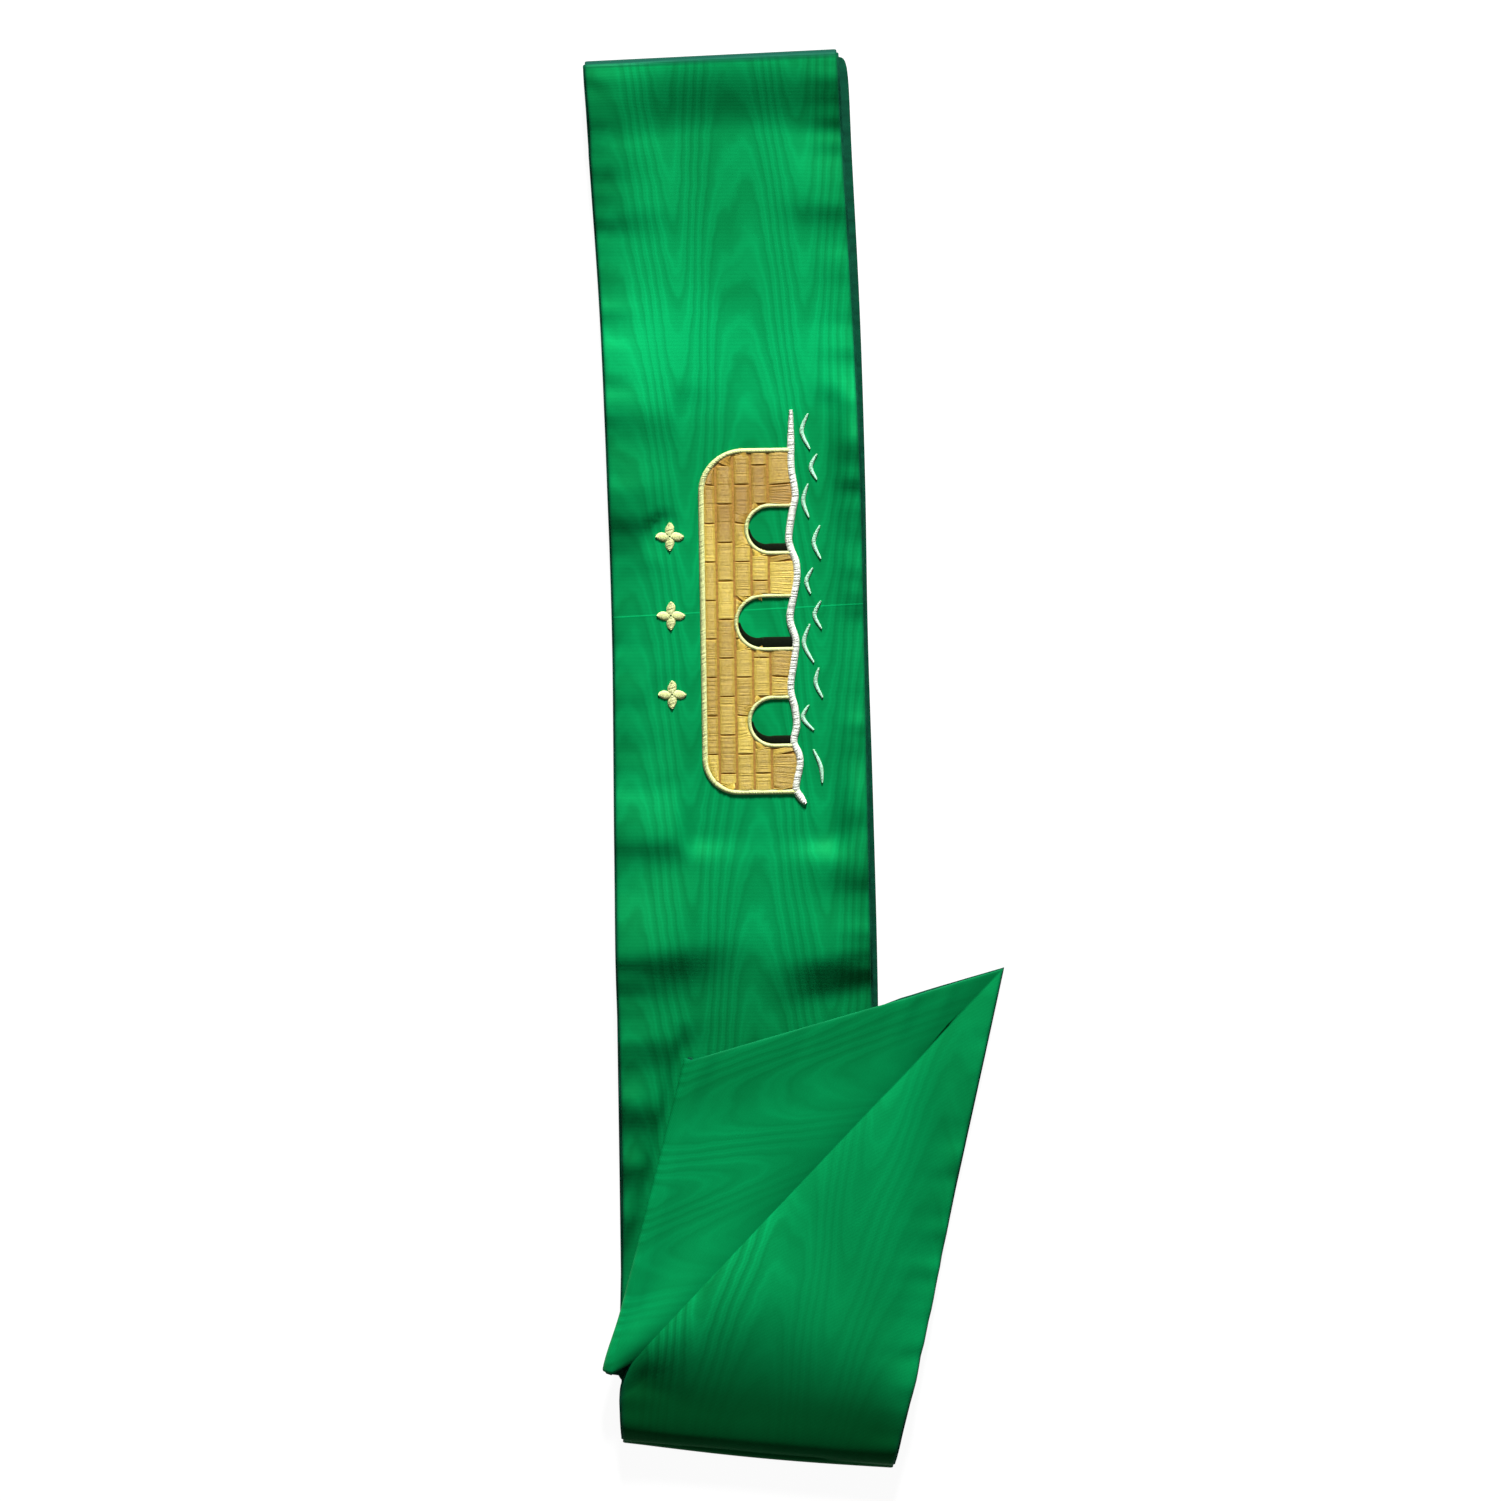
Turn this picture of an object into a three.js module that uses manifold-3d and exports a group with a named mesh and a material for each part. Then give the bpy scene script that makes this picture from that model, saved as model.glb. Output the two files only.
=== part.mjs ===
// A broad watered silk sash of an order, folded in two and laid flat on the ground, its mitred tip
// turned over the front strand, with a three-arched bridge embroidered on the front strand.
// Millimetres, +Z up. The sash lies along Y, its shoulder fold towards +Y.

import * as THREE from "three";
import Module from "manifold-3d";
import { mergeVertices } from "three/addons/utils/BufferGeometryUtils.js";

const wasm = await Module();
wasm.setup();

const { smoothstep, lerp, degToRad } = THREE.MathUtils;

// Band
const ribbonWidth = 102;
const lyingLength = 572;
const silkThickness = 1;
const liningThickness = 1;
const liningMargin = 0.8;
const plyGap = 0.3;

// Soft forms of the band
const shoulderBulge = 4.5;
const shoulderRoll = 0.35;
const bottomBulge = 0.6;
const bottomRoll = 1.8;
const bottomSwell = 3.8;
const bottomBow = 0.7;
const bowFade = 50;
const hiddenSwell = 4;
const hiddenSwellBreadth = 30;
const flapBulge = 0.8;
const foldRelax = 24;
const bulgeFall = 24;
const drapeBreadth = 30;
const puckerRise = 1.6;
const seamDepth = 0.25;
const seamHalfWidth = 1.5;
const seamSwell = 0.8;
const seamSwellBreadth = 9;

// Fineness of the band's mesh
const columns = 8;
const foldSteps = 5;
const frontRowSpacing = 7.2;
const liningRowStride = 4;
const shoulderRows = 8;
const hiddenRowSpacing = 45;
const tipRowSpacing = 11;

// Embroidered bridge, sizes as it stands upright
const bridgeLength = 137.5;
const bridgeHeight = 32.8;
const bridgeThickness = 0.6;
const brickRise = 0.3;
const brickJoint = 0.9;
const brickCourses = 5;
const brickLength = 15.5;
const brickHeight = 7;
const bridgeTurn = 90.9;
const bridgeCentreAlong = 0.4034;
const bridgeCentreAcross = -0.214;
const farCorner = 17;
const nearCorner = 13.5;

// Laid cords and satin stitches
const cordWidth = 2.1;
const cordRise = 1;
const archCordWidth = 1.6;
const waterCordWidth = 2.7;
const waterCordRise = 1.3;
const waveWidth = 1.7;
const waveRise = 0.8;
const shadowDepth = 2.8;
const shadowRise = 0.6;
const stitchGap = 0.3;
const motifSpan = 11;
const motifRise = 0.8;
const motifSpacing = 31.8;
const motifHeight = 45.7;
const motifStart = -29;

// The strands in the order that the band runs, and rows across each one. A row holds its left and
// right selvage, x as a share of the ribbon's width from the middle of the lying sash, y as a share
// of the lying length from its top. A strand's first and last row are the folds as they show.
const strands = {
  front: [
    { leftX: -0.826, leftY: 0.0092, rightX: 0.182, rightY: 0.0004 },
    { leftX: -0.802, leftY: 0.0776, rightX: 0.206, rightY: 0.0762 },
    { leftX: -0.759, leftY: 0.1904, rightX: 0.245, rightY: 0.1890 },
    { leftX: -0.731, leftY: 0.3032, rightX: 0.275, rightY: 0.3011 },
    { leftX: -0.711, leftY: 0.4161, rightX: 0.291, rightY: 0.4133 },
    { leftX: -0.704, leftY: 0.5289, rightX: 0.303, rightY: 0.5254 },
    { leftX: -0.696, leftY: 0.6417, rightX: 0.317, rightY: 0.6375 },
    { leftX: -0.686, leftY: 0.7052, rightX: 0.324, rightY: 0.6911 },
    { leftX: -0.674, leftY: 0.8212, rightX: 0.33, rightY: 0.765 },
    { leftX: -0.673, leftY: 0.9372, rightX: 0.336, rightY: 0.8392 },
  ],
  under: [
    { leftX: -0.673, leftY: 0.9372, rightX: 0.336, rightY: 0.8392 },
    { leftX: -0.739, leftY: 0.9316, rightX: -0.423, rightY: 0.7087 },
  ],
  tip: [
    { leftX: -0.739, leftY: 0.9316, rightX: -0.423, rightY: 0.7087 },
    { leftX: -0.6405, leftY: 0.9247, rightX: 0.839, rightY: 0.6467 },
  ],
  drop: [
    { leftX: -0.6405, leftY: 0.9247, rightX: 0.839, rightY: 0.6467 },
    { leftX: -0.678, leftY: 0.9415, rightX: 0.694, rightY: 0.7645 },
    { leftX: -0.68, leftY: 0.9605, rightX: 0.549, rightY: 0.8822 },
    { leftX: -0.676, leftY: 0.979, rightX: 0.405, rightY: 0.9965 },
  ],
  back: [
    { leftX: -0.676, leftY: 0.979, rightX: 0.405, rightY: 0.9965 },
    { leftX: -0.676, leftY: 0.8674, rightX: 0.352, rightY: 0.8815 },
    { leftX: -0.692, leftY: 0.6700, rightX: 0.340, rightY: 0.6700 },
    { leftX: -0.704, leftY: 0.5289, rightX: 0.320, rightY: 0.5254 },
    { leftX: -0.711, leftY: 0.4161, rightX: 0.300, rightY: 0.4133 },
    { leftX: -0.731, leftY: 0.3032, rightX: 0.289, rightY: 0.3011 },
    { leftX: -0.759, leftY: 0.1904, rightX: 0.269, rightY: 0.1890 },
    { leftX: -0.802, leftY: 0.0776, rightX: 0.237, rightY: 0.0762 },
    { leftX: -0.818, leftY: 0.0317, rightX: 0.225, rightY: 0.0247 },
    { leftX: -0.826, leftY: 0.0092, rightX: 0.182, rightY: 0.0004 },
  ],
};

// Puckers along the front strand's selvages: where the crest lies along the sash and across the
// strand, its half length, the length of its steep side, and how far it leans up to the right.
// Along is a share of the lying length, the others are shares of the ribbon's width.
const puckers = [
  { along: 0.0790, across: 0.100, reach: 0.087, steep: 0.079, lean: 0.25, rise: 0.8 },
  { along: 0.1157, across: 0.134, reach: 0.099, steep: 0.055, lean: 0.10, rise: 0.7 },
  { along: 0.2560, across: 0.120, reach: 0.119, steep: 0.095, lean: 0.00, rise: 0.9 },
  { along: 0.3188, across: 0.113, reach: 0.150, steep: 0.120, lean: 0.05, rise: 1.0 },
  { along: 0.4528, across: 0.127, reach: 0.119, steep: 0.063, lean: 0.00, rise: 0.6 },
  { along: 0.5592, across: 0.179, reach: 0.158, steep: 0.055, lean: 0.05, rise: 0.9 },
  { along: 0.6382, across: 0.173, reach: 0.186, steep: 0.095, lean: 0.25, rise: 1.0 },
  { along: 0.6975, across: 0.166, reach: 0.166, steep: 0.063, lean: 0.10, rise: 0.9 },
  { along: 0.7454, across: 0.112, reach: 0.079, steep: 0.079, lean: 0.20, rise: 0.8 },
  { along: 0.7870, across: 0.080, reach: 0.060, steep: 0.063, lean: 0.00, rise: 0.6 },
  { along: 0.1121, across: 0.866, reach: 0.079, steep: 0.047, lean: 0.00, rise: 0.5 },
  { along: 0.2729, across: 0.946, reach: 0.099, steep: 0.103, lean: 0.30, rise: 0.9 },
  { along: 0.3307, across: 0.935, reach: 0.079, steep: 0.063, lean: 0.00, rise: 0.6 },
  { along: 0.4859, across: 0.896, reach: 0.099, steep: 0.063, lean: 0.00, rise: 0.6 },
  { along: 0.5395, across: 0.872, reach: 0.099, steep: 0.055, lean: 0.00, rise: 0.6 },
  { along: 0.5762, across: 0.909, reach: 0.099, steep: 0.100, lean: 0.00, rise: 0.8 },
  { along: 0.6432, across: 0.845, reach: 0.130, steep: 0.079, lean: 0.30, rise: 1.0 },
];

// The arches: middle and half width as shares of the bridge's length, crown as a share of its height
const arches = [
  { middle: 0.269, radius: 0.0698, crown: 0.454 },
  { middle: -0.004, radius: 0.0785, crown: 0.595 },
  { middle: -0.294, radius: 0.0709, crown: 0.450 },
];

// The water line: along as a share of the bridge's length, below as a share of its height under
// the middle of the bridge
const waterLine = [
  { along: 0.616, below: 0.692 },
  { along: 0.516, below: 0.683 },
  { along: 0.443, below: 0.683 },
  { along: 0.371, below: 0.726 },
  { along: 0.314, below: 0.683 },
  { along: 0.244, below: 0.640 },
  { along: 0.209, below: 0.665 },
  { along: 0.173, below: 0.723 },
  { along: 0.127, below: 0.732 },
  { along: 0.075, below: 0.692 },
  { along: 0.005, below: 0.640 },
  { along: -0.058, below: 0.707 },
  { along: -0.123, below: 0.677 },
  { along: -0.180, below: 0.637 },
  { along: -0.215, below: 0.640 },
  { along: -0.256, below: 0.683 },
  { along: -0.308, below: 0.701 },
  { along: -0.354, below: 0.662 },
  { along: -0.390, below: 0.723 },
  { along: -0.425, below: 0.732 },
  { along: -0.488, below: 0.680 },
  { along: -0.517, below: 0.738 },
  { along: -0.535, below: 0.796 },
];

// The single waves: both ends along the bridge as shares of its length, and how far their start,
// middle and end lie below the middle of the bridge as shares of its height
const waves = [
  { from: 0.605, to: 0.503, start: 0.896, middle: 0.820, end: 0.915 },
  { from: 0.486, to: 0.413, start: 0.997, middle: 0.924, end: 0.994 },
  { from: 0.399, to: 0.303, start: 0.884, middle: 0.824, end: 0.890 },
  { from: 0.277, to: 0.181, start: 1.021, middle: 0.945, end: 1.027 },
  { from: 0.153, to: 0.080, start: 0.927, middle: 0.848, end: 0.896 },
  { from: 0.056, to: -0.023, start: 1.018, middle: 0.942, end: 1.024 },
  { from: -0.011, to: -0.121, start: 0.881, middle: 0.806, end: 0.921 },
  { from: -0.140, to: -0.225, start: 0.982, middle: 0.942, end: 1.024 },
  { from: -0.248, to: -0.320, start: 0.850, middle: 0.780, end: 0.909 },
  { from: -0.379, to: -0.475, start: 0.905, middle: 0.988, end: 1.006 },
];

// Each strand lies with its lining or its silk downwards on the one below. These are the heights of
// the middle between silk and lining.
const silkSide = plyGap / 2 + silkThickness;
const liningSide = plyGap / 2 + liningThickness;
const restHeight = { ground: liningSide, back: silkSide };
restHeight.front = restHeight.back + liningSide + plyGap + liningSide;
restHeight.under = restHeight.front + silkSide + plyGap + silkSide;
restHeight.tip = restHeight.under + liningSide + plyGap + liningSide;
const frontTop = restHeight.front + silkSide;

function placeInPlan(x, y) {
  return new THREE.Vector2(x * ribbonWidth, (0.5 - y) * lyingLength);
}

function rowInPlan(row) {
  return {
    left: placeInPlan(row.leftX, row.leftY),
    right: placeInPlan(row.rightX, row.rightY),
  };
}

// How far a place lies from the line through a row, towards the given inner place
function distanceFrom(row, inner, place) {
  const along = row.right.clone().sub(row.left).normalize();
  const normal = new THREE.Vector2(-along.y, along.x);
  const side = Math.sign(normal.dot(inner.clone().sub(row.left)));
  return side * normal.dot(place.clone().sub(row.left));
}

function middleOf(row) {
  return row.left.clone().add(row.right).multiplyScalar(0.5);
}

// The x of a strand's selvage at a given y, straight between its rows
function selvageAt(name, side, y) {
  const points = strands[name].map((row) => rowInPlan(row)[side]).sort((a, b) => b.y - a.y);
  const lower = points.findIndex((point) => point.y < y);
  const last = points.length - 1;
  const to = points[lower < 0 ? last : Math.max(lower, 1)];
  const from = points[lower < 0 ? last - 1 : Math.max(lower, 1) - 1];
  return lerp(from.x, to.x, THREE.MathUtils.clamp((y - from.y) / (to.y - from.y), 0, 1));
}

// The folds as they show in plan
const shoulderFold = rowInPlan(strands.front[0]);
const hiddenFold = rowInPlan(strands.under[0]);
const flapFold = rowInPlan(strands.tip[0]);
const mitreSeam = rowInPlan(strands.drop[0]);
const bottomFold = rowInPlan(strands.back[0]);
const flapSelvage = { left: flapFold.right, right: mitreSeam.right };

// The front strand swells behind the shoulder fold. The swelling ends in an arched step, nearer to
// the fold at the middle of the strand than at its selvages.
const bulgeReach = { middle: 9, left: 15.5, right: 22 };

function frontHeight(place) {
  const below = distanceFrom(shoulderFold, middleOf(hiddenFold), place);
  const left = selvageAt("front", "left", place.y);
  const right = selvageAt("front", "right", place.y);
  const across = 2 * (place.x - left) / (right - left) - 1;
  const side = across < 0 ? bulgeReach.left : bulgeReach.right;
  const reach = lerp(bulgeReach.middle, side, Math.min(across * across, 1));
  return restHeight.front + shoulderBulge * (1 - smoothstep(below, reach, reach + bulgeFall));
}

// The tip and the drop lie on the folded strands, step down past the hidden fold on to the back
// strand, and drape to the ground past the back strand's right selvage.
const stepStart = { left: placeInPlan(-0.739, 0.931), right: placeInPlan(0.395, 0.906) };
const stepLength = { left: 18, right: 44 };

function topHeight(place) {
  const breadth = place.x - stepStart.left.x;
  const share = THREE.MathUtils.clamp(breadth / (stepStart.right.x - stepStart.left.x), 0, 1);
  const beyond = lerp(stepStart.left.y, stepStart.right.y, share) - place.y;
  const length = lerp(stepLength.left, stepLength.right, share);
  const flapDistance = distanceFrom(flapFold, mitreSeam.right, place);
  const bottomDistance = distanceFrom(bottomFold, middleOf(mitreSeam), place);
  const hiddenDistance = distanceFrom(hiddenFold, middleOf(shoulderFold), place);
  const down = smoothstep(beyond, 0, length);
  const swell = hiddenSwell * Math.exp(-((hiddenDistance / hiddenSwellBreadth) ** 2));
  const landed = restHeight.front + bottomSwell * smoothstep(bottomDistance, 0, foldRelax);
  const stepped = lerp(restHeight.tip + swell, landed, down);
  const atFlap = flapBulge * (1 - smoothstep(flapDistance, 0, foldRelax));
  const atBottom = bottomBulge * (1 - smoothstep(bottomDistance, 0, foldRelax));
  const edge = selvageAt("back", "right", place.y);
  const draped = smoothstep(place.x - edge, 0, drapeBreadth);
  return lerp(stepped + atFlap + atBottom, restHeight.ground, draped);
}

const heightOf = {
  front: frontHeight,
  under: () => restHeight.under,
  tip: topHeight,
  drop: topHeight,
  back: () => restHeight.back,
};

// A pucker has a steep side towards the lower end of the sash and a long side away from it. It dies
// out before the flap that lies over the strand.
const longSide = 2.6;
const flapClearance = { from: 2, to: 9 };

function puckerLift(place) {
  const left = selvageAt("front", "left", place.y);
  let lift = 0;
  for (const pucker of puckers) {
    const across = place.x - left - pucker.across * ribbonWidth;
    const crest = placeInPlan(0, pucker.along).y + pucker.lean * across;
    const above = place.y - crest;
    const steep = pucker.steep * ribbonWidth;
    const spread = above > 0 ? longSide * steep : steep;
    const fade = Math.exp(-((across / (pucker.reach * ribbonWidth)) ** 2));
    lift += pucker.rise * puckerRise * fade * Math.exp(-((above / spread) ** 2));
  }
  const fromFlap = -distanceFrom(flapFold, mitreSeam.right, place);
  const fromSelvage = -distanceFrom(flapSelvage, mitreSeam.left, place);
  const clear = Math.max(fromFlap, fromSelvage);
  const besideFlap = smoothstep(clear, flapClearance.from, flapClearance.to);
  return lift * besideFlap * smoothstep(fromEmbroidery(place), 1, embroideryFade);
}

// The embroidery holds the silk flat. Its field is told in the bridge's own plane, and this is how
// far a place lies outside it.
const embroideryFade = 8;
const bridgeCentre = placeInPlan(bridgeCentreAcross, bridgeCentreAlong);
const bridgeTop = bridgeHeight * 0.427;
const bridgeFoot = bridgeTop - bridgeHeight;
const waterEnd = 0.62;
const waterFoot = 1.06;

function fromEmbroidery(place) {
  const turn = -degToRad(bridgeTurn);
  const local = place.clone().rotateAround(bridgeCentre, turn).sub(bridgeCentre);
  const top = motifHeight + bridgeFoot + motifSpan / 2;
  const foot = -waterFoot * bridgeHeight;
  const beyond = Math.max(Math.abs(local.x) - waterEnd * bridgeLength, 0);
  const above = Math.max(local.y - top, foot - local.y, 0);
  return Math.hypot(beyond, above);
}

// Pulls a strand's end row in by the reach of the fold's roll, so that the roll ends where it shows
function pulledIn(row, inner, reach) {
  const along = row.right.clone().sub(row.left).normalize();
  const normal = new THREE.Vector2(-along.y, along.x);
  const side = Math.sign(normal.dot(inner.clone().sub(row.left)));
  const shift = normal.multiplyScalar(side * reach);
  return { left: row.left.clone().add(shift), right: row.right.clone().add(shift) };
}

// The rows of one strand, evenly between the rows of its table on smooth selvages
function strandRows(name, spacing, startReach, endReach) {
  const table = strands[name].map(rowInPlan);
  const last = table.length - 1;
  const first = middleOf(table[0]);
  const end = middleOf(table[last]);
  table[0] = pulledIn(table[0], end, startReach);
  table[last] = pulledIn(table[last], first, endReach);
  const leftCurve = new THREE.SplineCurve(table.map((row) => row.left));
  const rightCurve = new THREE.SplineCurve(table.map((row) => row.right));
  const length = Math.max(leftCurve.getLength(), rightCurve.getLength());
  const count = Math.max(2, Math.ceil(length / spacing));
  const rows = [];
  for (let i = 0; i <= count; i += 1) {
    const share = i / count;
    rows.push({ name, left: leftCurve.getPoint(share), right: rightCurve.getPoint(share) });
  }
  return rows;
}

// The half roll between two strands, from the row that both share. A stretched roll reaches out
// further than a round one of its height.
function foldRows(row, from, to, outward, stretch = 1) {
  const rows = [];
  for (let step = 1; step < foldSteps; step += 1) {
    const turn = Math.PI * step / foldSteps;
    const { left, right } = row;
    rows.push({ name: from, next: to, left, right, outward, turn, stretch });
  }
  return rows;
}

function outwardOf(fold, inner) {
  const along = fold.right.clone().sub(fold.left).normalize();
  const normal = new THREE.Vector2(-along.y, along.x);
  const side = Math.sign(normal.dot(inner.clone().sub(fold.left)));
  return normal.multiplyScalar(-side);
}

// How far each fold's roll reaches past its axis, with the silk or the lining outside
const foldReach = {
  shoulder: shoulderRoll * (restHeight.front - restHeight.back + shoulderBulge) / 2 + silkSide,
  hidden: (restHeight.under - restHeight.front) / 2 + liningSide,
  flap: (restHeight.tip - restHeight.under + flapBulge) / 2 + silkSide,
  bottom: bottomRoll * (restHeight.front - restHeight.back + bottomBulge) / 2 + silkSide,
};

// Past the swelling at the shoulder a smooth ply needs only one row in so many
function thinned(rows, stride) {
  const last = rows.length - 1;
  return rows.filter((row, i) => i < shoulderRows || i === last || i % stride === 0);
}

// The whole band's rows. The mitre seam's row is shared by the tip and the drop.
function bandRows(frontStride) {
  const all = strandRows("front", frontRowSpacing, foldReach.shoulder, foldReach.hidden);
  const front = thinned(all, frontStride);
  const under = strandRows("under", hiddenRowSpacing, foldReach.hidden, foldReach.flap);
  const tip = strandRows("tip", tipRowSpacing, foldReach.flap, 0);
  const drop = strandRows("drop", tipRowSpacing, 0, foldReach.bottom);
  const back = strandRows("back", hiddenRowSpacing, foldReach.bottom, foldReach.shoulder);
  const seam = tip.pop();
  seam.seam = true;
  const hiddenOut = outwardOf(hiddenFold, middleOf(shoulderFold));
  const flapOut = outwardOf(flapFold, mitreSeam.right);
  const bottomOut = outwardOf(bottomFold, middleOf(mitreSeam));
  const shoulderOut = outwardOf(shoulderFold, middleOf(hiddenFold));
  return [
    ...front,
    ...foldRows(front.at(-1), "front", "under", hiddenOut),
    ...under,
    ...foldRows(under.at(-1), "under", "tip", flapOut),
    ...tip,
    ...seamSide(tip.at(-1), seam),
    seam,
    ...seamSide(drop[1], seam),
    ...drop.slice(1),
    ...foldRows(drop.at(-1), "drop", "back", bottomOut, bottomRoll),
    ...back,
    ...foldRows(back.at(-1), "back", "front", shoulderOut, shoulderRoll),
  ];
}

// A row close beside the seam, so that the seam is a fine groove
function seamSide(neighbour, seam) {
  const length = neighbour.right.distanceTo(seam.right);
  const share = Math.min(seamHalfWidth / length, 0.5);
  return [{
    name: neighbour.name,
    left: seam.left.clone().lerp(neighbour.left, share),
    right: seam.right.clone().lerp(neighbour.right, share),
  }];
}

// The bottom fold bows outwards between its corners
function bowed(row, share, place) {
  if (row.name !== "drop" && row.name !== "back") {
    return place;
  }
  const distance = distanceFrom(bottomFold, middleOf(mitreSeam), place);
  const bow = bottomBow * Math.sin(Math.PI * share) * (1 - smoothstep(distance, 0, bowFade));
  return place.addScaledVector(outwardOf(bottomFold, middleOf(mitreSeam)), bow);
}

// The place of the middle surface at a row's share of the breadth
function middlePoint(row, share) {
  const place = bowed(row, share, row.left.clone().lerp(row.right, share));
  const height = heightOf[row.name](place);
  if (row.turn === undefined) {
    return new THREE.Vector3(place.x, place.y, height);
  }
  const nextHeight = heightOf[row.next](place);
  const radius = (nextHeight - height) / 2;
  const reach = Math.abs(radius) * row.stretch * Math.sin(row.turn);
  const out = row.outward.clone().multiplyScalar(reach);
  const z = (height + nextHeight) / 2 - radius * Math.cos(row.turn);
  return new THREE.Vector3(place.x + out.x, place.y + out.y, z);
}

function insetRow(row, inset) {
  const across = row.right.clone().sub(row.left).normalize().multiplyScalar(inset);
  return { ...row, left: row.left.clone().add(across), right: row.right.clone().sub(across) };
}

// One ply of the band as a closed solid between two distances from the middle surface. Distances
// towards the silk's face are positive.
function plyGeometry(frontStride, inset, near, far, liftOf) {
  const rows = bandRows(frontStride).map((row) => insetRow(row, inset));
  const shares = [];
  for (let column = 0; column <= columns; column += 1) {
    shares.push((1 - Math.cos(Math.PI * column / columns)) / 2);
  }
  const middle = rows.map((row) => shares.map((share) => middlePoint(row, share)));
  const normals = middle.map((points, i) => {
    const before = middle[(i + rows.length - 1) % rows.length];
    const after = middle[(i + 1) % rows.length];
    return points.map((point, j) => {
      const along = after[j].clone().sub(before[j]);
      const across = points[Math.min(j + 1, columns)].clone().sub(points[Math.max(j - 1, 0)]);
      return along.cross(across).normalize();
    });
  });
  const vertices = [];
  const layer = (distance, outside) => {
    const start = vertices.length / 3;
    rows.forEach((row, i) => {
      middle[i].forEach((point, j) => {
        const offset = distance + liftOf(row, point, outside);
        vertices.push(...point.clone().addScaledVector(normals[i][j], offset).toArray());
      });
    });
    return (i, j) => start + (i % rows.length) * (columns + 1) + j;
  };
  const nearAt = layer(near, false);
  const farAt = layer(far, true);
  const triangles = [];
  const quad = (a, b, c, d) => triangles.push(a, b, c, a, c, d);
  for (let i = 0; i < rows.length; i += 1) {
    for (let j = 0; j < columns; j += 1) {
      quad(farAt(i, j), farAt(i + 1, j), farAt(i + 1, j + 1), farAt(i, j + 1));
      quad(nearAt(i, j), nearAt(i, j + 1), nearAt(i + 1, j + 1), nearAt(i + 1, j));
    }
    quad(nearAt(i, 0), nearAt(i + 1, 0), farAt(i + 1, 0), farAt(i, 0));
    quad(nearAt(i, columns), farAt(i, columns), farAt(i + 1, columns), nearAt(i + 1, columns));
  }
  return geometryOf(vertices, triangles);
}

function geometryOf(vertices, triangles) {
  const geometry = new THREE.BufferGeometry();
  geometry.setAttribute("position", new THREE.Float32BufferAttribute(vertices, 3));
  geometry.setIndex(triangles);
  return geometry;
}

// The silk lifts in puckers on the front strand and swells on both sides of the mitre seam, where
// its face dips in a fine groove
function silkLift(row, point, outside) {
  const place = new THREE.Vector2(point.x, point.y);
  if (row.seam) {
    return outside ? -seamDepth : 0;
  }
  if (row.turn !== undefined) {
    return 0;
  }
  if (row.name === "front") {
    return puckerLift(place);
  }
  if (row.name !== "tip" && row.name !== "drop") {
    return 0;
  }
  const fromSeam = Math.abs(distanceFrom(mitreSeam, middleOf(bottomFold), place));
  const ends = row.name === "tip" ? flapFold : bottomFold;
  const fromFold = distanceFrom(ends, middleOf(mitreSeam), place);
  const free = smoothstep(fromFold, 0, seamSwellBreadth);
  return seamSwell * free * (1 - Math.exp(-((fromSeam / seamSwellBreadth) ** 2)));
}

const silkMaterial = new THREE.MeshStandardMaterial({ color: 0x038c4b, roughness: 0.38 });
const liningMaterial = new THREE.MeshStandardMaterial({ color: 0x0e3424, roughness: 0.7 });
const goldMaterial = new THREE.MeshStandardMaterial({ color: 0xc9a855, roughness: 0.5 });
const paleGoldMaterial = new THREE.MeshStandardMaterial({ color: 0xe1da8c, roughness: 0.45 });
const whiteMaterial = new THREE.MeshStandardMaterial({ color: 0xe1e1d7, roughness: 0.5 });
const waveMaterial = new THREE.MeshStandardMaterial({ color: 0xb4e6c8, roughness: 0.5 });
const shadowMaterial = new THREE.MeshStandardMaterial({ color: 0x1e230f, roughness: 0.45 });

function namedMesh(name, geometry, material) {
  const mesh = new THREE.Mesh(geometry, material);
  mesh.name = name;
  return mesh;
}

// A satin stitched strip with a flat foot and a round back along a path in plan
function satinStrip(path, widthAt, rise) {
  const section = [
    { side: -1, height: 0 },
    { side: -0.85, height: 0.6 },
    { side: 0, height: 1 },
    { side: 0.85, height: 0.6 },
    { side: 1, height: 0 },
  ];
  const vertices = [];
  const last = path.length - 1;
  path.forEach((point, i) => {
    const along = path[Math.min(i + 1, last)].clone().sub(path[Math.max(i - 1, 0)]).normalize();
    const half = widthAt(i / last) / 2;
    for (const { side, height } of section) {
      const reach = side * half;
      vertices.push(point.x - along.y * reach, point.y + along.x * reach, height * rise);
    }
  });
  const count = section.length;
  const triangles = [];
  for (let i = 0; i < last; i += 1) {
    for (let j = 0; j < count; j += 1) {
      const a = i * count + j;
      const b = i * count + (j + 1) % count;
      triangles.push(a, a + count, b + count, a, b + count, b);
    }
  }
  for (let j = 1; j < count - 1; j += 1) {
    triangles.push(0, j, j + 1);
    triangles.push(last * count, last * count + j + 1, last * count + j);
  }
  return geometryOf(vertices, triangles);
}

function asSolid(geometry) {
  geometry.deleteAttribute("normal");
  geometry.deleteAttribute("uv");
  const merged = mergeVertices(geometry);
  return new wasm.Manifold(new wasm.Mesh({
    numProp: 3,
    vertProperties: merged.attributes.position.array,
    triVerts: merged.index.array,
  }));
}

function fromSolid(solid) {
  const mesh = solid.getMesh();
  return geometryOf([...mesh.vertProperties], [...mesh.triVerts]);
}

// The bridge stands upright in its own plane: x along it, y up, its middle at the origin
const arcSegments = 6;
const waveSegments = 4;
const lobeSegments = 3;

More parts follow.
